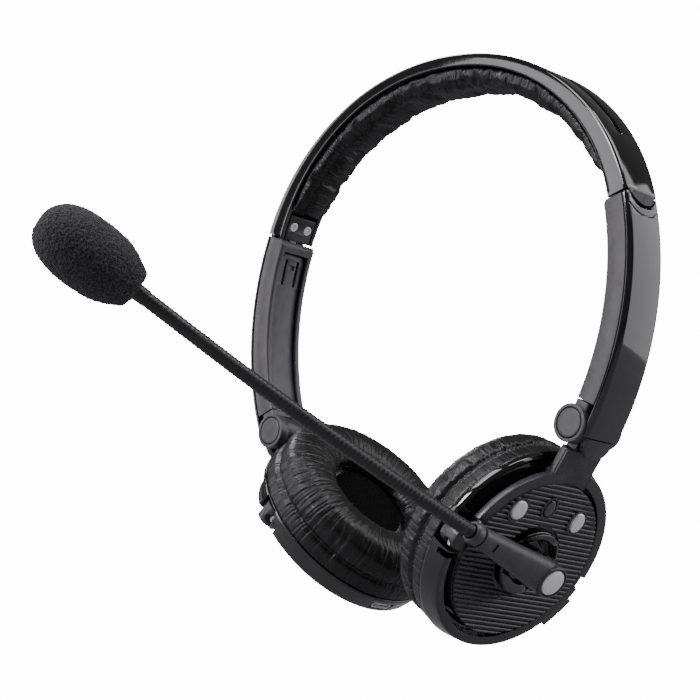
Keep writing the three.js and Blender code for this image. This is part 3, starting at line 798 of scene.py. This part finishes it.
def hanger(side):
    made = lathe("hanger_yoke", [(PLATE_R, HOUSING_BACK, 1.2), (PLATE_R, HOUSING_TOP, 0.2),
                                 (HOUSING_WALL, HOUSING_TOP, 0.2), (HOUSING_WALL, HOUSING_FLOOR, 0.4)], 128)
    knuckle = (-KNUCKLE_REACH, -KNUCKLE_SET)
    tongue_part = prism("tongue", rounded_box(-34.3, -22.9, -7.2, 7.2, 0.5), -3.6, -0.25)
    groove = block("step", (-36, -20), (-9, -6.95), (-0.95, -0.75))
    step = block("step", (-36, -27.0), (-9, -6.3), (-3.9, -2.6))
    tongue_part = cut(tongue_part, plate_room(), groove, step)
    lip = cut(sector("lip", 188, 250, 23.4, 27.6, -1.9, -0.1, 60), plate_room())
    neck = union(block("neck", (-39, -33), (-4.7, 4.7), (-3.8, -0.35)),
                 rod_y("barrel", 4.9, -4.7, 4.7, *knuckle, 72))
    neck = cut(neck, *[rod_y("room", FOOT_R + 0.4, *y, *knuckle, 72) for y in ((-12, -4.9), (4.9, 12))])
    link = block("link", (-4.6, -0.6), (-26, -23.4), (-4.4, -2.4))
    made = union(made, tongue_part, lip, neck, link, lug())
    made = cut(made, rod_y("bore", PIN_R + GAP, -9, 9, *knuckle, 40),
               rod_y("bore", 1.3, -30, 30, 0, TRUNNION_Z, 32))
    # The yoke gets the lighter ribbed satin instead of satin black: its lighter grey is painted light for the
    # lit stepped faces of its neck.
    side.add(made, side.plate, RIBBED, "hanger", "hanger", slot="satin_black", bevel=0.2)
    for where, sign in (("front", -1), ("back", 1)):
        pin = lathe(f"trunnion_{where}", [(1.0, 21.6, 0.2), (1.0, 28.2, 0.2)], 32)
        matrix = side.plate @ facing_y(sign, Vector((0, 0, TRUNNION_Z)))
        side.add(pin, matrix, STEEL, "hanger", f"trunnion_pin_{where}")


def rib_slab():
    """A square slab whose upper face carries rounded ribs along Y."""
    half = PLATE_R + 1
    count = int(2 * half / RIB_PITCH) + 1
    start = -count * RIB_PITCH / 2
    line = [(start, SLAB_BACK)]
    for i in range(count):
        for share, height in RIB_PROFILE:
            line.append((start + (i + share) * RIB_PITCH, (height - 1) * RIB_DEPTH))
    line.append((-start, SLAB_BACK))
    return loft("rib_slab", [[Vector((x, y, z)) for x, z in line] for y in (-half, half)])


def faceplate(side, with_controls):
    body = lathe("plate", [(PLATE_R, -0.9), (PLATE_R, -0.35), (PLATE_R - 0.35, 0.0),
                           (PLATE_R - 0.5, 0.06)], 160)
    made = common(rib_slab(), body)
    if with_controls:
        for x, y, rx, ry in CONTROLS.values():
            made = union(made, prism("collar", circle(rx + 0.95, 48, x, y, ry + 0.95), PLATE_BACK, 0.03))
        rim_in, rim_out = DIAL_HOLE - 0.2, DIAL_HOLE + 0.85
        rim = turned("rim", rounded([(rim_in, PLATE_BACK), (rim_out, PLATE_BACK), (rim_out, 0.05, 0.2),
                                     (rim_in, 0.05, 0.2)]))
        holes = [prism("hole", circle(rx + GAP, 48, x, y, ry + GAP), -3, 3)
                 for x, y, rx, ry in CONTROLS.values()]
        made = cut(union(made, rim), *holes, prism("hole", circle(DIAL_HOLE, 96), -3, 3))
    made.name = "ribbed_plate"
    side.add(made, side.plate, RIBBED, "hanger", "faceplate", sharp=38)


# ---- cups ----
RIM_INNER, RIM_OUTER, RIM_Z = 25.4, 28.9, -1.25
SHELL_R, SHELL_BACK, SHELL_FLOOR, SHELL_FLOOR_BACK, SPIGOT_R = 30.3, -7.5, -8.6, -9.8, 27.6
OPEN_SECTOR = (165, 256)
SOCKET = {"front": 29.2, "back": 25.8, "half_width": 3.7, "low": -5.5, "high": -2.9}
LUG_ROOM = 1.0  # space round the yoke's lug, for the cup to tilt
def lug(grow=0.0):
    """The rounded block at the end of the yoke that takes the front trunnion."""
    outline = [(-5.6 - grow, -25.0 + grow, 0.8), (0.8 + grow, -25.0 + grow, 0.6),
               (0.8 + grow, -30.0 - grow, 2.5), (-5.2 - grow, -29.9 - grow, 2.8)]
    return prism("lug", rounded(outline, 6), -6.4 - grow, 4 if grow else -0.8)


def open_rim():
    """The stepped, glossy edge of the bowl where the rim is left out: a thin ridge, a trough, a slope."""
    ring = turned("open_rim", rounded([
        (24.95, -7.65), (24.95, -5.4, 0.3), (25.6, -5.4, 0.4), (27.9, -6.45, 0.4), (28.9, -6.5, 0.3),
        (29.15, -5.25, 0.15), (29.75, -5.25, 0.2), (30.2, -6.0, 0.6), (SHELL_R + 0.04, -7.2, 0.3),
        (29.0, -7.3)]), 200)
    return common(ring, sector("part", OPEN_SECTOR[0] - 0.4, OPEN_SECTOR[1] + 0.4, 20, 40, -9, 3, 67))


def cup_shell(side, with_socket):
    bowl = lathe("cup_bowl", [
        (24.9, SHELL_FLOOR, 0.5), (RIM_INNER, -7.6, 0.3), (RIM_INNER, RIM_Z, 0.55), (RIM_OUTER, RIM_Z, 0.7),
        (SHELL_R, SHELL_BACK + 0.7, 0.4), (SHELL_R, SHELL_BACK, 0.25), (SPIGOT_R, SHELL_BACK),
        (SPIGOT_R, SHELL_FLOOR_BACK, 0.2)], 180)
    bowl = union(cut(bowl, sector("open", *OPEN_SECTOR, 20, 40, -7.0, 3, 60)), open_rim())
    openings = [
        block("open", (-40, -20), (-8.6, 8.6), (-7.45, 3)),
        sector("open", 76, 84, 27, 40, -4.6, 3),
        sector("open", 274.5, 278, 25, 40, -4.6, 3),
        lug(LUG_ROOM),
        rod_y("open", 1.3, -29.4, 29.4, 0, TRUNNION_Z, 32),
        prism("open", circle(25.75, 160, 0.3, -0.95), -4.4, 3),
    ]
    if with_socket:
        wide = SOCKET["half_width"] + GAP
        openings.append(block("open", (SOCKET["back"] - GAP, 40), (-wide, wide),
                              (SOCKET["low"] - GAP, SOCKET["high"] + GAP)))
    bowl = cut(bowl, *openings)
    side.add(bowl, side.cup, GLOSS, "cup", "cup_shell", bevel=0.3, segments=3)


def cup_inside(side):
    baffle = turned("baffle_ring", rounded_box(14.0, 27.3, -11.6, -10.1, 0.3))
    side.add(baffle, side.cup, SATIN, "cup", "baffle")
    driver = lathe("driver_can", [(13.4, -11.4, 0.2), (13.4, -11.9), (19.5, -11.9, 0.3), (19.5, -13.4, 0.3),
                                  (16, -15, 0.4)])
    side.add(driver, side.cup, WRAP, "cup", "driver")
    cloth = lathe("driver_foam", [(12.0, -15.4, 0.5), (12.0, -16.6, 0.5), (8.0, -17.0, 1.0)], 72)
    ruffle(cloth, 0.9, 0.12)
    side.add(cloth, side.cup, CLOTH, "cup", "driver_cloth", sharp=60)


def ruffle(obj, size, depth):
    """Moves each point of a mesh a little along its normal, by cloudy noise of this size."""
    normals = [v.normal.copy() for v in obj.data.vertices]
    for v, normal in zip(obj.data.vertices, normals):
        v.co += normal * depth * noise.noise(v.co / size)


# ---- small parts inside and on the housings ----
def controls():
    for name, (x, y, rx, ry) in CONTROLS.items():
        lens = name == "indicator_lens"
        z0, z1 = (-1.6, 0.25) if lens else (-2.4, 0.6)
        cap = lathe(f"{name}_cap", [(1.0, z0), (1.0, z1 - 0.28), (0.93, z1 - 0.1), (0.8, z1 - 0.02),
                                    (0.5, z1)], 64)
        moved(cap, Matrix.Translation((x, y, 0)) @ Matrix.Diagonal((rx, ry, 1, 1)))
        body = "left_hanger" if lens else name
        place(cap, LEFT.plate, LENS if lens else SILVER, body, name, sharp=50)


def electronics():
    board = prism("board_blank", circle(21.5, 96), -4.3, -3.5)
    board = cut(board, prism("hole", circle(4.6, 40), -6, 0))
    place(board, LEFT.plate, BOARD, "left_hanger", "circuit_board", bevel=0.1)
    cell = prism("battery_pouch", rounded_box(-13, 13, -9, 9, 1.5, 6), -4.3, -1.4)
    place(cell, RIGHT.plate, WRAP, "right_hanger", "battery", bevel=0.7, segments=4)


def charging_socket():
    middle = (SOCKET["low"] + SOCKET["high"]) / 2
    half_height = (SOCKET["high"] - SOCKET["low"]) / 2

    def opening(half_w, half_h, x0, x1):
        outline = rounded_box(-half_w, half_w, -half_h, half_h, half_h * 0.8, 6)
        return loft("socket_shell", [[Vector((x, y, middle + z)) for y, z in outline] for x in (x0, x1)])

    half_width = SOCKET["half_width"]
    shell = opening(half_width, half_height, SOCKET["back"], SOCKET["front"])
    blade = block("blade", (26.2, 28.8), (-2.3, 2.3), (middle - 0.25, middle + 0.25))
    shell = union(cut(shell, opening(half_width - 0.45, half_height - 0.4, 26.4, 31)), blade)
    place(shell, RIGHT.cup, STEEL, "right_cup", "charging_socket", bevel=0.08)


def volume_key():
    key = sector("volume_rocker", 50, 69, 30.1, 31.6, TRUNNION_Z - 1.4, TRUNNION_Z + 0.9)
    key = cut(key, sector("notch", 59.0, 60.0, 31.3, 33, -9, 3, 4))
    place(key, LEFT.cup, MOULDED, "volume_key", "volume_key", bevel=0.3, segments=3)


# ---- soft goods ----
SIM_SCALE = 0.005  # the pads are simulated five times life size, where Blender's cloth behaves best
CLOTH_FRAMES = 20
CLOTH_SETTINGS = {
    "quality": 6, "mass": 0.3, "tension_stiffness": 12, "compression_stiffness": 12, "shear_stiffness": 4,
    "bending_stiffness": 0.15, "air_damping": 3, "use_pressure": True, "uniform_pressure_force": 4.0,
    "shrink_min": -0.05, "vertex_group_mass": "held",
}


def remeshed(obj, voxel):
    modifier = obj.modifiers.new("remesh", "REMESH")
    modifier.mode = "VOXEL"
    modifier.voxel_size = voxel
    return settle(obj)


def subdivided(obj):
    modifier = obj.modifiers.new("smooth", "SUBSURF")
    modifier.levels = modifier.render_levels = 1
    return settle(obj)


def vectors(items, name):
    values = np.empty(len(items) * 3)
    items.foreach_get(name, values)
    return values.reshape(-1, 3)


def set_points(mesh, points):
    mesh.vertices.foreach_set("co", np.asarray(points, np.float32).ravel())
    mesh.update()


def inflate(obj, held, cap):
    """Blows a padded piece up with the cloth solver; held(points) says which points are glued down."""
    rest = vectors(obj.data.vertices, "co")
    set_points(obj.data, rest * SIM_SCALE)
    group = obj.vertex_groups.new(name="held")
    group.add([int(i) for i in np.flatnonzero(held(rest))], 1.0, "REPLACE")
    modifier = obj.modifiers.new("cloth", "CLOTH")
    for key, value in CLOTH_SETTINGS.items():
        setattr(modifier.settings, key, value)
    modifier.settings.effector_weights.gravity = 0
    modifier.collision_settings.use_collision = False
    modifier.point_cache.frame_start, modifier.point_cache.frame_end = 1, CLOTH_FRAMES
    for step in range(1, CLOTH_FRAMES + 1):
        bpy.context.scene.frame_set(step)
    graph = bpy.context.evaluated_depsgraph_get()
    blown = vectors(obj.evaluated_get(graph).data.vertices, "co") / SIM_SCALE
    bpy.context.scene.frame_set(1)
    obj.modifiers.clear()
    obj.vertex_groups.clear()
    move = blown - rest
    length = np.linalg.norm(move, axis=1, keepdims=True)
    set_points(obj.data, rest + move * np.minimum(1, cap / np.maximum(length, 1e-9)))


def folds(points, spacing):
    """Leather-like folds: soft rolls between sharp creases, from 0 in a crease to 1 on a roll."""
    weights = (1.0, 0.55, 0.55 ** 2)
    out = np.zeros(len(points))
    for i, p in enumerate(points):
        for octave, weight in enumerate(weights):
            cloudy = noise.noise(Vector(p) / (spacing * 0.6 ** octave) + Vector((7.3, 1.9, 4.1)) * octave)
            out[i] += weight * min(1.0, 2.4 * abs(cloudy))
    return out / sum(weights)


def wrinkle(obj, height, pattern):
    """Raises a pad by these heights, and keeps its wrinkle pattern for the leather material to read."""
    points, normals = vectors(obj.data.vertices, "co"), vectors(obj.data.vertex_normals, "vector")
    set_points(obj.data, points + normals * height[:, None])
    layer = obj.data.attributes.new("folds", "FLOAT_VECTOR", "POINT")
    layer.data.foreach_set("vector", np.asarray(pattern, np.float32).ravel())


def drift(points, size, depth):
    return np.array([noise.noise(Vector(p) / size) for p in points]) * depth


PAD_SEAM = (29.9, -12.7)  # radius and height of the sewn seam round the pad's shoulder
def ear_pad(side):
    """A leatherette ring over foam: blown up by the cloth solver, then gathered and seamed."""
    pad = turned("ear_cushion", rounded([
        (12.9, -15.9, 0.3), (20.0, -15.5, 0.3), (20.3, -12.2, 0.3), (27.6, -12.0, 0.3), (27.9, -7.2, 0.1),
        (30.1, -7.15, 0.1), (29.9, -12.8, 1.0), (28.7, -18.6, 2.5), (24.6, -21.7, 2.0), (20.6, -22.2, 2.5),
        (16.4, -21.4, 2.0), (13.0, -18.8, 1.5)], 3), 160)
    remeshed(pad, 0.95)

    def place_in_profile(p):
        r, z = np.hypot(p[:, 0], p[:, 1]), p[:, 2]
        return r, z, np.hypot(r - PAD_SEAM[0], z - PAD_SEAM[1])

    def held(p):
        r, z, seam = place_in_profile(p)
        return ((z > -15.7) & (r < 28.6)) | (seam < 0.9) | (z > -12.0)

    inflate(pad, held, cap=0.8)
    subdivided(pad)
    co = vectors(pad.data.vertices, "co")
    r, z, seam = place_in_profile(co)
    theta = np.arctan2(co[:, 1], co[:, 0])
    run = np.where(z > PAD_SEAM[1], PAD_SEAM[1] - z, PAD_SEAM[0] - r)
    wander = drift([(*p, 0.0) for p in co[:, :2]], 8.0, 1.2)
    around = 24.0
    pattern = np.stack([np.cos(theta) * around + wander, np.sin(theta) * around + wander, run * 0.08], axis=1)
    gathered = np.where(z > PAD_SEAM[1], np.exp(-seam / 1.8), 0.7 + 0.5 * np.exp(-(seam / 4.0) ** 2))
    visible = (r > 20.5) | (z < -15.9)
    skirt_end = np.clip((-8.2 - z) / 1.5, 0, 1)
    height = (folds(pattern, 1.6) - 0.75) * 0.5 * gathered * skirt_end * visible
    wrinkle(pad, height - 0.95 * np.exp(-(seam / 0.75) ** 2), pattern)
    side.add(pad, side.cup, LEATHER, "cup", "ear_pad", sharp=80)


def headband_pad():
    """The long leatherette pad under the band, wrinkled across by the bend."""
    stop = BAND_END - 0.15

    def outline(t):
        w = band_half_width(t) - 1.1
        top = band_depth(t) + GAP
        thick = 4.9 * math.sqrt(max(1 - (t / stop) ** 14, 0.02))
        return both_halves([(w, top, 0.3), (w, top + thick * 0.62, 1.0), (w * 0.6, top + thick, 1.6)], 3)

    pad = sweep("headband_cushion", band_station, -stop, stop, 140, outline)
    remeshed(pad, 1.0)
    samples = np.linspace(-BAND_END, BAND_END, 1201)
    stations = [band_station(t) for t in samples]
    line = np.array([[at.x, at.z] for at, out in stations])
    outward = np.array([[out.x, out.z] for at, out in stations])
    arc = np.concatenate([[0], np.cumsum(np.linalg.norm(np.diff(line, axis=0), axis=1))])
    depths = np.array([band_depth(t) for t in samples])

    def along(p):
        """Distance along the band and depth below its inner face for each point."""
        run, depth = [], []
        for chunk in np.array_split(p[:, [0, 2]], len(p) // 2000 + 1):
            offset = chunk[:, None, :] - line[None]
            across = np.abs(offset[..., 0] * outward[None, :, 1] - offset[..., 1] * outward[None, :, 0])
            across += np.where((offset * outward[None]).sum(-1) > 1, 1e3, 0)
            best = across.argmin(1)
            run.append(arc[best])
            depth.append(-(offset[np.arange(len(chunk)), best] * outward[best]).sum(1) - depths[best])
        return np.concatenate(run), np.concatenate(depth)

    inflate(pad, lambda p: along(p)[1] < 1.0, cap=1.0)
    subdivided(pad)
    co = vectors(pad.data.vertices, "co")
    s, depth = along(co)
    wander = drift(co, 6.0, 1.8)
    pattern = np.stack([s + wander, co[:, 1] * 0.17 + wander * 0.3, depth * 0.12], axis=1)
    free = np.clip((depth - 0.6) / 1.2, 0, 1)
    from_end = np.minimum(s - s.min(), s.max() - s)
    height = (folds(pattern, 2.0) - 0.75) * 0.55 * free * np.clip(0.35 + from_end / 12, 0, 1)
    wrinkle(pad, height, pattern)
    place(pad, TO_METRES, LEATHER, "band", "headband_pad", sharp=80)


# ---- boom ----
BAR_BUTT = Vector((2.4, 8.4, 6.4))
DIAL_R, DIAL_TOP = 9.9, 2.6
NECK_R = 1.95
NECK_POINTS = [Vector(p) for p in ((-6.8, -28.3, 4.5), (-9.8, -40, 2.7), (-17.3, -70, -6.5),
                                   (-25.0, -100, -21.2), (-33.5, -130.6, -41.9))]
NECK_FIRST = (NECK_POINTS[1] - NECK_POINTS[0]).normalized()
NECK_START = NECK_POINTS[0] + NECK_FIRST * 0.5
NECK_LAST = (NECK_POINTS[4] - NECK_POINTS[3]).normalized()
CAP_R = 3.85
CAP_CENTRE = Vector((1.0, 3.4, 8.9))


def boom_dial():
    dial = turned("dial_hub", rounded([
        (AXIS_R, -2.8), (11.4, -2.8, 0.3), (11.4, -1.3, 0.3), (DIAL_R, -1.3, 0.1), (DIAL_R, 1.35, 0.35),
        (9.2, 1.45, 0.3), (8.5, 0.9, 0.4), (6.2, -0.3, 1.0), (3.0, -0.7), (AXIS_R, -0.75)]), 144)
    ridge = arc_ridge(133, 231, 7.9, 9.75, 0.4, DIAL_TOP)
    shoulder = arc_ridge(-72, 30, 6.6, 9.75, 0.4, 2.0)
    stem = prism("stem", circle(4.6, 64, 1.2, 3.6), -0.9, 3.4)
    dial = union(dial, ridge, shoulder, stem)
    place(dial, LEFT.plate, GLOSS, "boom", "boom_dial", bevel=0.15, sharp=45)


def arc_ridge(start, stop, r0, r1, low, high, steps=60):
    """A rounded ridge round the dial that thins out at both ends."""
    rings = []
    for i in range(steps + 1):
        share = i / steps
        a = math.radians(mix(start, stop, share))
        swell = math.sqrt(max(1 - (2 * share - 1) ** 4, 0.004))
        inner = mix(r1 - 0.15, r0, swell)
        top = mix(low + 0.2, high, swell)
        section = rounded([(inner, low - 0.8), (r1, low - 0.8), (r1, top, 0.3 * swell),
                           (inner, top - 0.35 * swell, 0.25 * swell)], 3)
        rings.append([Vector((r * math.cos(a), r * math.sin(a), z)) for r, z in section])
    return loft("ridge", rings)


def oval_ring(z, rx, ry):
    """One ring of a superellipse, squarer than an oval."""
    power = 2 / 2.5
    return [Vector((rx * math.copysign(abs(c) ** power, c), ry * math.copysign(abs(s) ** power, s), z))
            for c, s in circle(1, 56)]


def boom_bar():
    axis = NECK_POINTS[0] - BAR_BUTT
    length = axis.length
    stations, widths, heights = zip((0, 4.5, 2.8), (2, 4.9, 3.0), (9, 4.9, 3.0), (22, 3.9, 2.9),
                                    (length - 2, 3.0, 2.7), (length - 0.3, 2.9, 2.65))
    rings = []
    for z in np.linspace(0, stations[-1], 91):
        round_end = math.sqrt(max(1 - (1 - clamp(z / 3.2)) ** 2, 0.01))
        rx, ry = (np.interp(z, stations, sizes) * mix(0.55, 1, round_end) for sizes in (widths, heights))
        rings.append(oval_ring(z, rx, ry))
    bar_frame = frame_along(BAR_BUTT, axis)
    cap_frame = Matrix.Translation(CAP_CENTRE)
    boss = moved(lathe("boss", [(CAP_R + 1.05, -5.9), (CAP_R + 1.05, 0.42, 0.55)], 120, 6), cap_frame)
    bar = union(moved(loft("boom_arm", rings), bar_frame), boss)
    bar = cut(
        bar,
        prism("room", circle(DIAL_R + 3, 128), -5, DIAL_TOP + 0.3),
        prism("room", circle(CAP_R + 1.2, 96), 0.42, 9, cap_frame),
        prism("room", circle(CAP_R + 0.38, 96), -1.9, 9, cap_frame),
        moved(block("slot", (-1.3, 1.3), (1.9, 6), (length - 5.9, length - 5.1)), bar_frame),
    )
    place(bar, LEFT.plate, MOULDED, "boom", "boom_bar", bevel=0.14)
    cap = turned("boom_cap", rounded([(AXIS_R, -1.2), (CAP_R, -1.2), (CAP_R, 0.3, 0.35), (2.6, 0.62, 1.2),
                                      (AXIS_R, 0.7)], 6))
    place(cap, LEFT.plate @ cap_frame, SILVER, "boom_button", "boom_button", sharp=60)


def neck_path(count):
    """Points along the gooseneck, on a centripetal Catmull-Rom curve through its stations."""
    points = [NECK_START] + NECK_POINTS[1:]
    padded = [points[0] * 2 - points[1]] + points + [points[-1] * 2 - points[-2]]
    knots = [0.0]
    for a, b in zip(padded, padded[1:]):
        knots.append(knots[-1] + (b - a).length ** 0.5)
    path = []
    for i in range(count + 1):
        t = mix(knots[1], knots[-2], i / count)
        j = max(k for k in range(1, len(padded) - 2) if knots[k] <= t + 1e-9)
        p, k = padded[j - 1:j + 3], knots[j - 1:j + 3]
        for span in (1, 2):
            p = [mix(p[n], p[n + 1], (t - k[n]) / (k[n + span] - k[n])) for n in range(4 - span)]
        path.append(mix(*p, (t - k[1]) / (k[2] - k[1])))
    return path


def gooseneck():
    """The bendable neck: a tightly wound tube, its coils standing out as one long helix."""
    pitch, count, collar_length = 1.4, 24, 4.2
    path = neck_path(860)
    lengths = [0.0]
    for a, b in zip(path, path[1:]):
        lengths.append(lengths[-1] + (b - a).length)
    normal = Vector((0, 0, 1))
    rings = []
    for i, (p, s) in enumerate(zip(path, lengths)):
        tangent = (path[min(i + 1, len(path) - 1)] - path[max(i - 1, 0)]).normalized()
        normal = (normal - tangent * normal.dot(tangent)).normalized()
        binormal = tangent.cross(normal)
        ring = []
        for k, (c, d) in enumerate(circle(1, count)):
            coil = 0.13 * math.cos(math.pi * (s / pitch + k / count)) ** 2
            radius = NECK_R + (0.18 if s > lengths[-1] - collar_length else 0.05 - coil)
            ring.append(p + (normal * c + binormal * d) * radius)
        rings.append(ring)
    neck = loft("gooseneck_coil", rings)
    place(neck, LEFT.plate, NECK, "boom", "gooseneck", sharp=75)
    ferrule = turned("neck_ferrule", rounded([(2.15, -0.1), (3.1, -0.1, 0.25), (3.1, 2.0, 0.45),
                                              (2.6, 2.7, 0.2), (2.15, 2.7, 0.1)]), 72)
    place(ferrule, LEFT.plate @ frame_along(NECK_START, NECK_FIRST), MOULDED, "boom", "boom_ferrule")


def smoothed(outline, count):
    """Points on a cubic curve through an outline's stations, so that a few of them read as one curve."""
    stations = np.array(outline)
    knots = np.concatenate([[0], np.cumsum(np.linalg.norm(np.diff(stations, axis=0), axis=1))])
    slopes = np.gradient(stations, knots, axis=0)
    points = []
    for s in np.linspace(0, knots[-1], count):
        i = int(np.clip(np.searchsorted(knots, s) - 1, 0, len(knots) - 2))
        h = knots[i + 1] - knots[i]
        u = (s - knots[i]) / h
        p = ((2 * u ** 3 - 3 * u ** 2 + 1) * stations[i] + (u ** 3 - 2 * u ** 2 + u) * h * slopes[i]
             + (3 * u ** 2 - 2 * u ** 3) * stations[i + 1] + (u ** 3 - u ** 2) * h * slopes[i + 1])
        points.append((float(p[0]), float(p[1])))
    return points


def microphone():
    at_tip = LEFT.plate @ frame_along(NECK_POINTS[4] + NECK_LAST * 0.4, NECK_LAST)
    capsule = lathe("capsule_can", [(3.2, 0, 0.3), (3.2, 7.0, 0.5), (2.6, 7.6, 0.3)], 48, 3)
    place(capsule, at_tip, SATIN, "boom", "microphone_capsule")
    outer = [(3.5, -1.4), (4.5, -1.2), (6.3, 1.4), (8.0, 5.0), (8.8, 9.0), (9.0, 13.5), (8.8, 17.4),
             (8.0, 21.2), (6.1, 24.7), (3.2, 26.8), (AXIS_R, 27.3)]
    profile = smoothed(outer, 150) + [(AXIS_R, 8.2), (3.45, 8.2), (3.45, -1.0)]
    foam = turned("foam_windscreen", profile, 220)
    for size, depth in ((3.0, 0.1), (0.6, 0.18), (0.33, 0.22)):
        ruffle(foam, size, depth)
    place(foam, at_tip, FOAM, "boom", "windscreen", sharp=80)


# ---- stage ----
CAMERA = {"azimuth": 46.54, "elevation": -9.11, "roll": 5.72, "distance": 586.33, "lens": 107.61}
CAMERA_TARGET = Vector((0.1, -34.34, KNUCKLE.z + 17.64))
FLOOR_DROP = 14.0  # the floor lies this far below the lens, which looks slightly up
def camera_frame():
    azimuth, elevation, roll = (math.radians(CAMERA[k]) for k in ("azimuth", "elevation", "roll"))
    back = Vector((math.sin(azimuth) * math.cos(elevation), -math.cos(azimuth) * math.cos(elevation),
                   math.sin(elevation)))
    right = Vector((math.cos(azimuth), math.sin(azimuth), 0))
    up = back.cross(right)
    turned_right = right * math.cos(roll) + up * math.sin(roll)
    turned_up = up * math.cos(roll) - right * math.sin(roll)
    return basis(turned_right, turned_up, back, (CAMERA_TARGET + back * CAMERA["distance"]) * MM)


def camera():
    data = bpy.data.cameras.new("camera")
    data.lens = CAMERA["lens"]
    data.sensor_width = 36
    data.clip_start, data.clip_end = 0.01, 50
    made = linked("camera", data)
    made.matrix_world = camera_frame()
    bpy.context.scene.camera = made
    return made


def seen_white(tree, shader, strength):
    """Mixes a shader with plain white light for the camera only, as an overexposed studio floor."""
    path = tree.nodes.new("ShaderNodeLightPath")
    glow = tree.nodes.new("ShaderNodeEmission")
    glow.inputs["Strength"].default_value = strength
    blend = tree.nodes.new("ShaderNodeMixShader")
    tree.links.new(path.outputs["Is Camera Ray"], blend.inputs["Fac"])
    tree.links.new(shader, blend.inputs[1])
    tree.links.new(glow.outputs["Emission"], blend.inputs[2])
    return blend.outputs["Shader"]


WHITE = 14.0


def floor(height):
    count, radii = 96, (0.02, 400, 1500, 9000)
    verts = [(x, y, 0) for r in radii for x, y in circle(r, count)]
    made = solid("floor", verts, ring_faces(len(radii), count))
    made.data.transform(TO_METRES)
    made.location = (0, 0, height)
    s = Shader("studio_floor")
    s.tint(s.noise(120.0), (0.22, 0.22, 0.23), (0.26, 0.26, 0.27))
    s.set(Roughness=0.6)
    out = s.tree.nodes["Material Output"]
    s.tree.links.new(seen_white(s.tree, s.surface.outputs["BSDF"], WHITE), out.inputs["Surface"])
    made.data.materials.append(s.material)


def world():
    made = bpy.data.worlds.new("studio")
    made.use_nodes = True
    tree = made.node_tree
    background = tree.nodes["Background"]
    path = tree.nodes.new("ShaderNodeLightPath")
    strength = tree.nodes.new("ShaderNodeMapRange")
    strength.inputs["To Min"].default_value = 0.10
    strength.inputs["To Max"].default_value = WHITE
    tree.links.new(path.outputs["Is Camera Ray"], strength.inputs["Value"])
    tree.links.new(strength.outputs["Result"], background.inputs["Strength"])
    background.inputs["Color"].default_value = (1, 1, 1, 1)
    bpy.context.scene.world = made


def softbox(name, direction, distance, width, height, power):
    """An oblong lamp shining on the middle of the object, from a direction seen by the camera."""
    right, up, back = (camera_frame().to_3x3().col[i] for i in range(3))
    away = (right * direction[0] + up * direction[1] + back * direction[2]).normalized()
    data = bpy.data.lights.new(name, "AREA")
    data.shape = "RECTANGLE"
    data.size, data.size_y = width, height
    data.energy = power
    data.color = (0.98, 0.955, 1.0)
    made = linked(name, data)
    made.location = CAMERA_TARGET * MM + away * distance
    made.rotation_mode = "QUATERNION"
    made.rotation_quaternion = away.to_track_quat("Z", "Y")


def lights():
    softbox("left", (-0.97, 0.10, 0.24), 1.0, 0.5, 1.1, 6)
    softbox("back_left", (-0.92, 0.30, -0.45), 1.1, 0.3, 0.8, 2.2)
    softbox("key", (-0.72, 0.75, 0.45), 1.1, 0.28, 0.28, 6)
    softbox("right", (1.0, 0.10, -0.05), 1.1, 0.9, 1.05, 5.4)
    softbox("upper_right", (0.85, 0.8, 0.05), 1.1, 0.8, 0.55, 3.0)
    softbox("top_left", (-0.3, 1.0, 0.2), 1.0, 0.4, 0.5, 4)
    softbox("top_right", (0.45, 1.0, 0.2), 1.0, 0.4, 0.5, 4)
    softbox("rim", (-0.35, 0.75, -0.8), 1.2, 0.6, 0.4, 6)


def build():
    headband_shell()
    headband_liner()
    headband_pad()
    for side in SIDES:
        hinge_cover(side)
        arm(side)
        slider(side)
        hanger(side)
        faceplate(side, with_controls=side is LEFT)
        cup_shell(side, with_socket=side is RIGHT)
        cup_inside(side)
        ear_pad(side)
    controls()
    electronics()
    charging_socket()
    volume_key()
    boom_dial()
    boom_bar()
    gooseneck()
    microphone()


build()
eye = camera()
floor(eye.location.z - FLOOR_DROP * MM)
world()
lights()
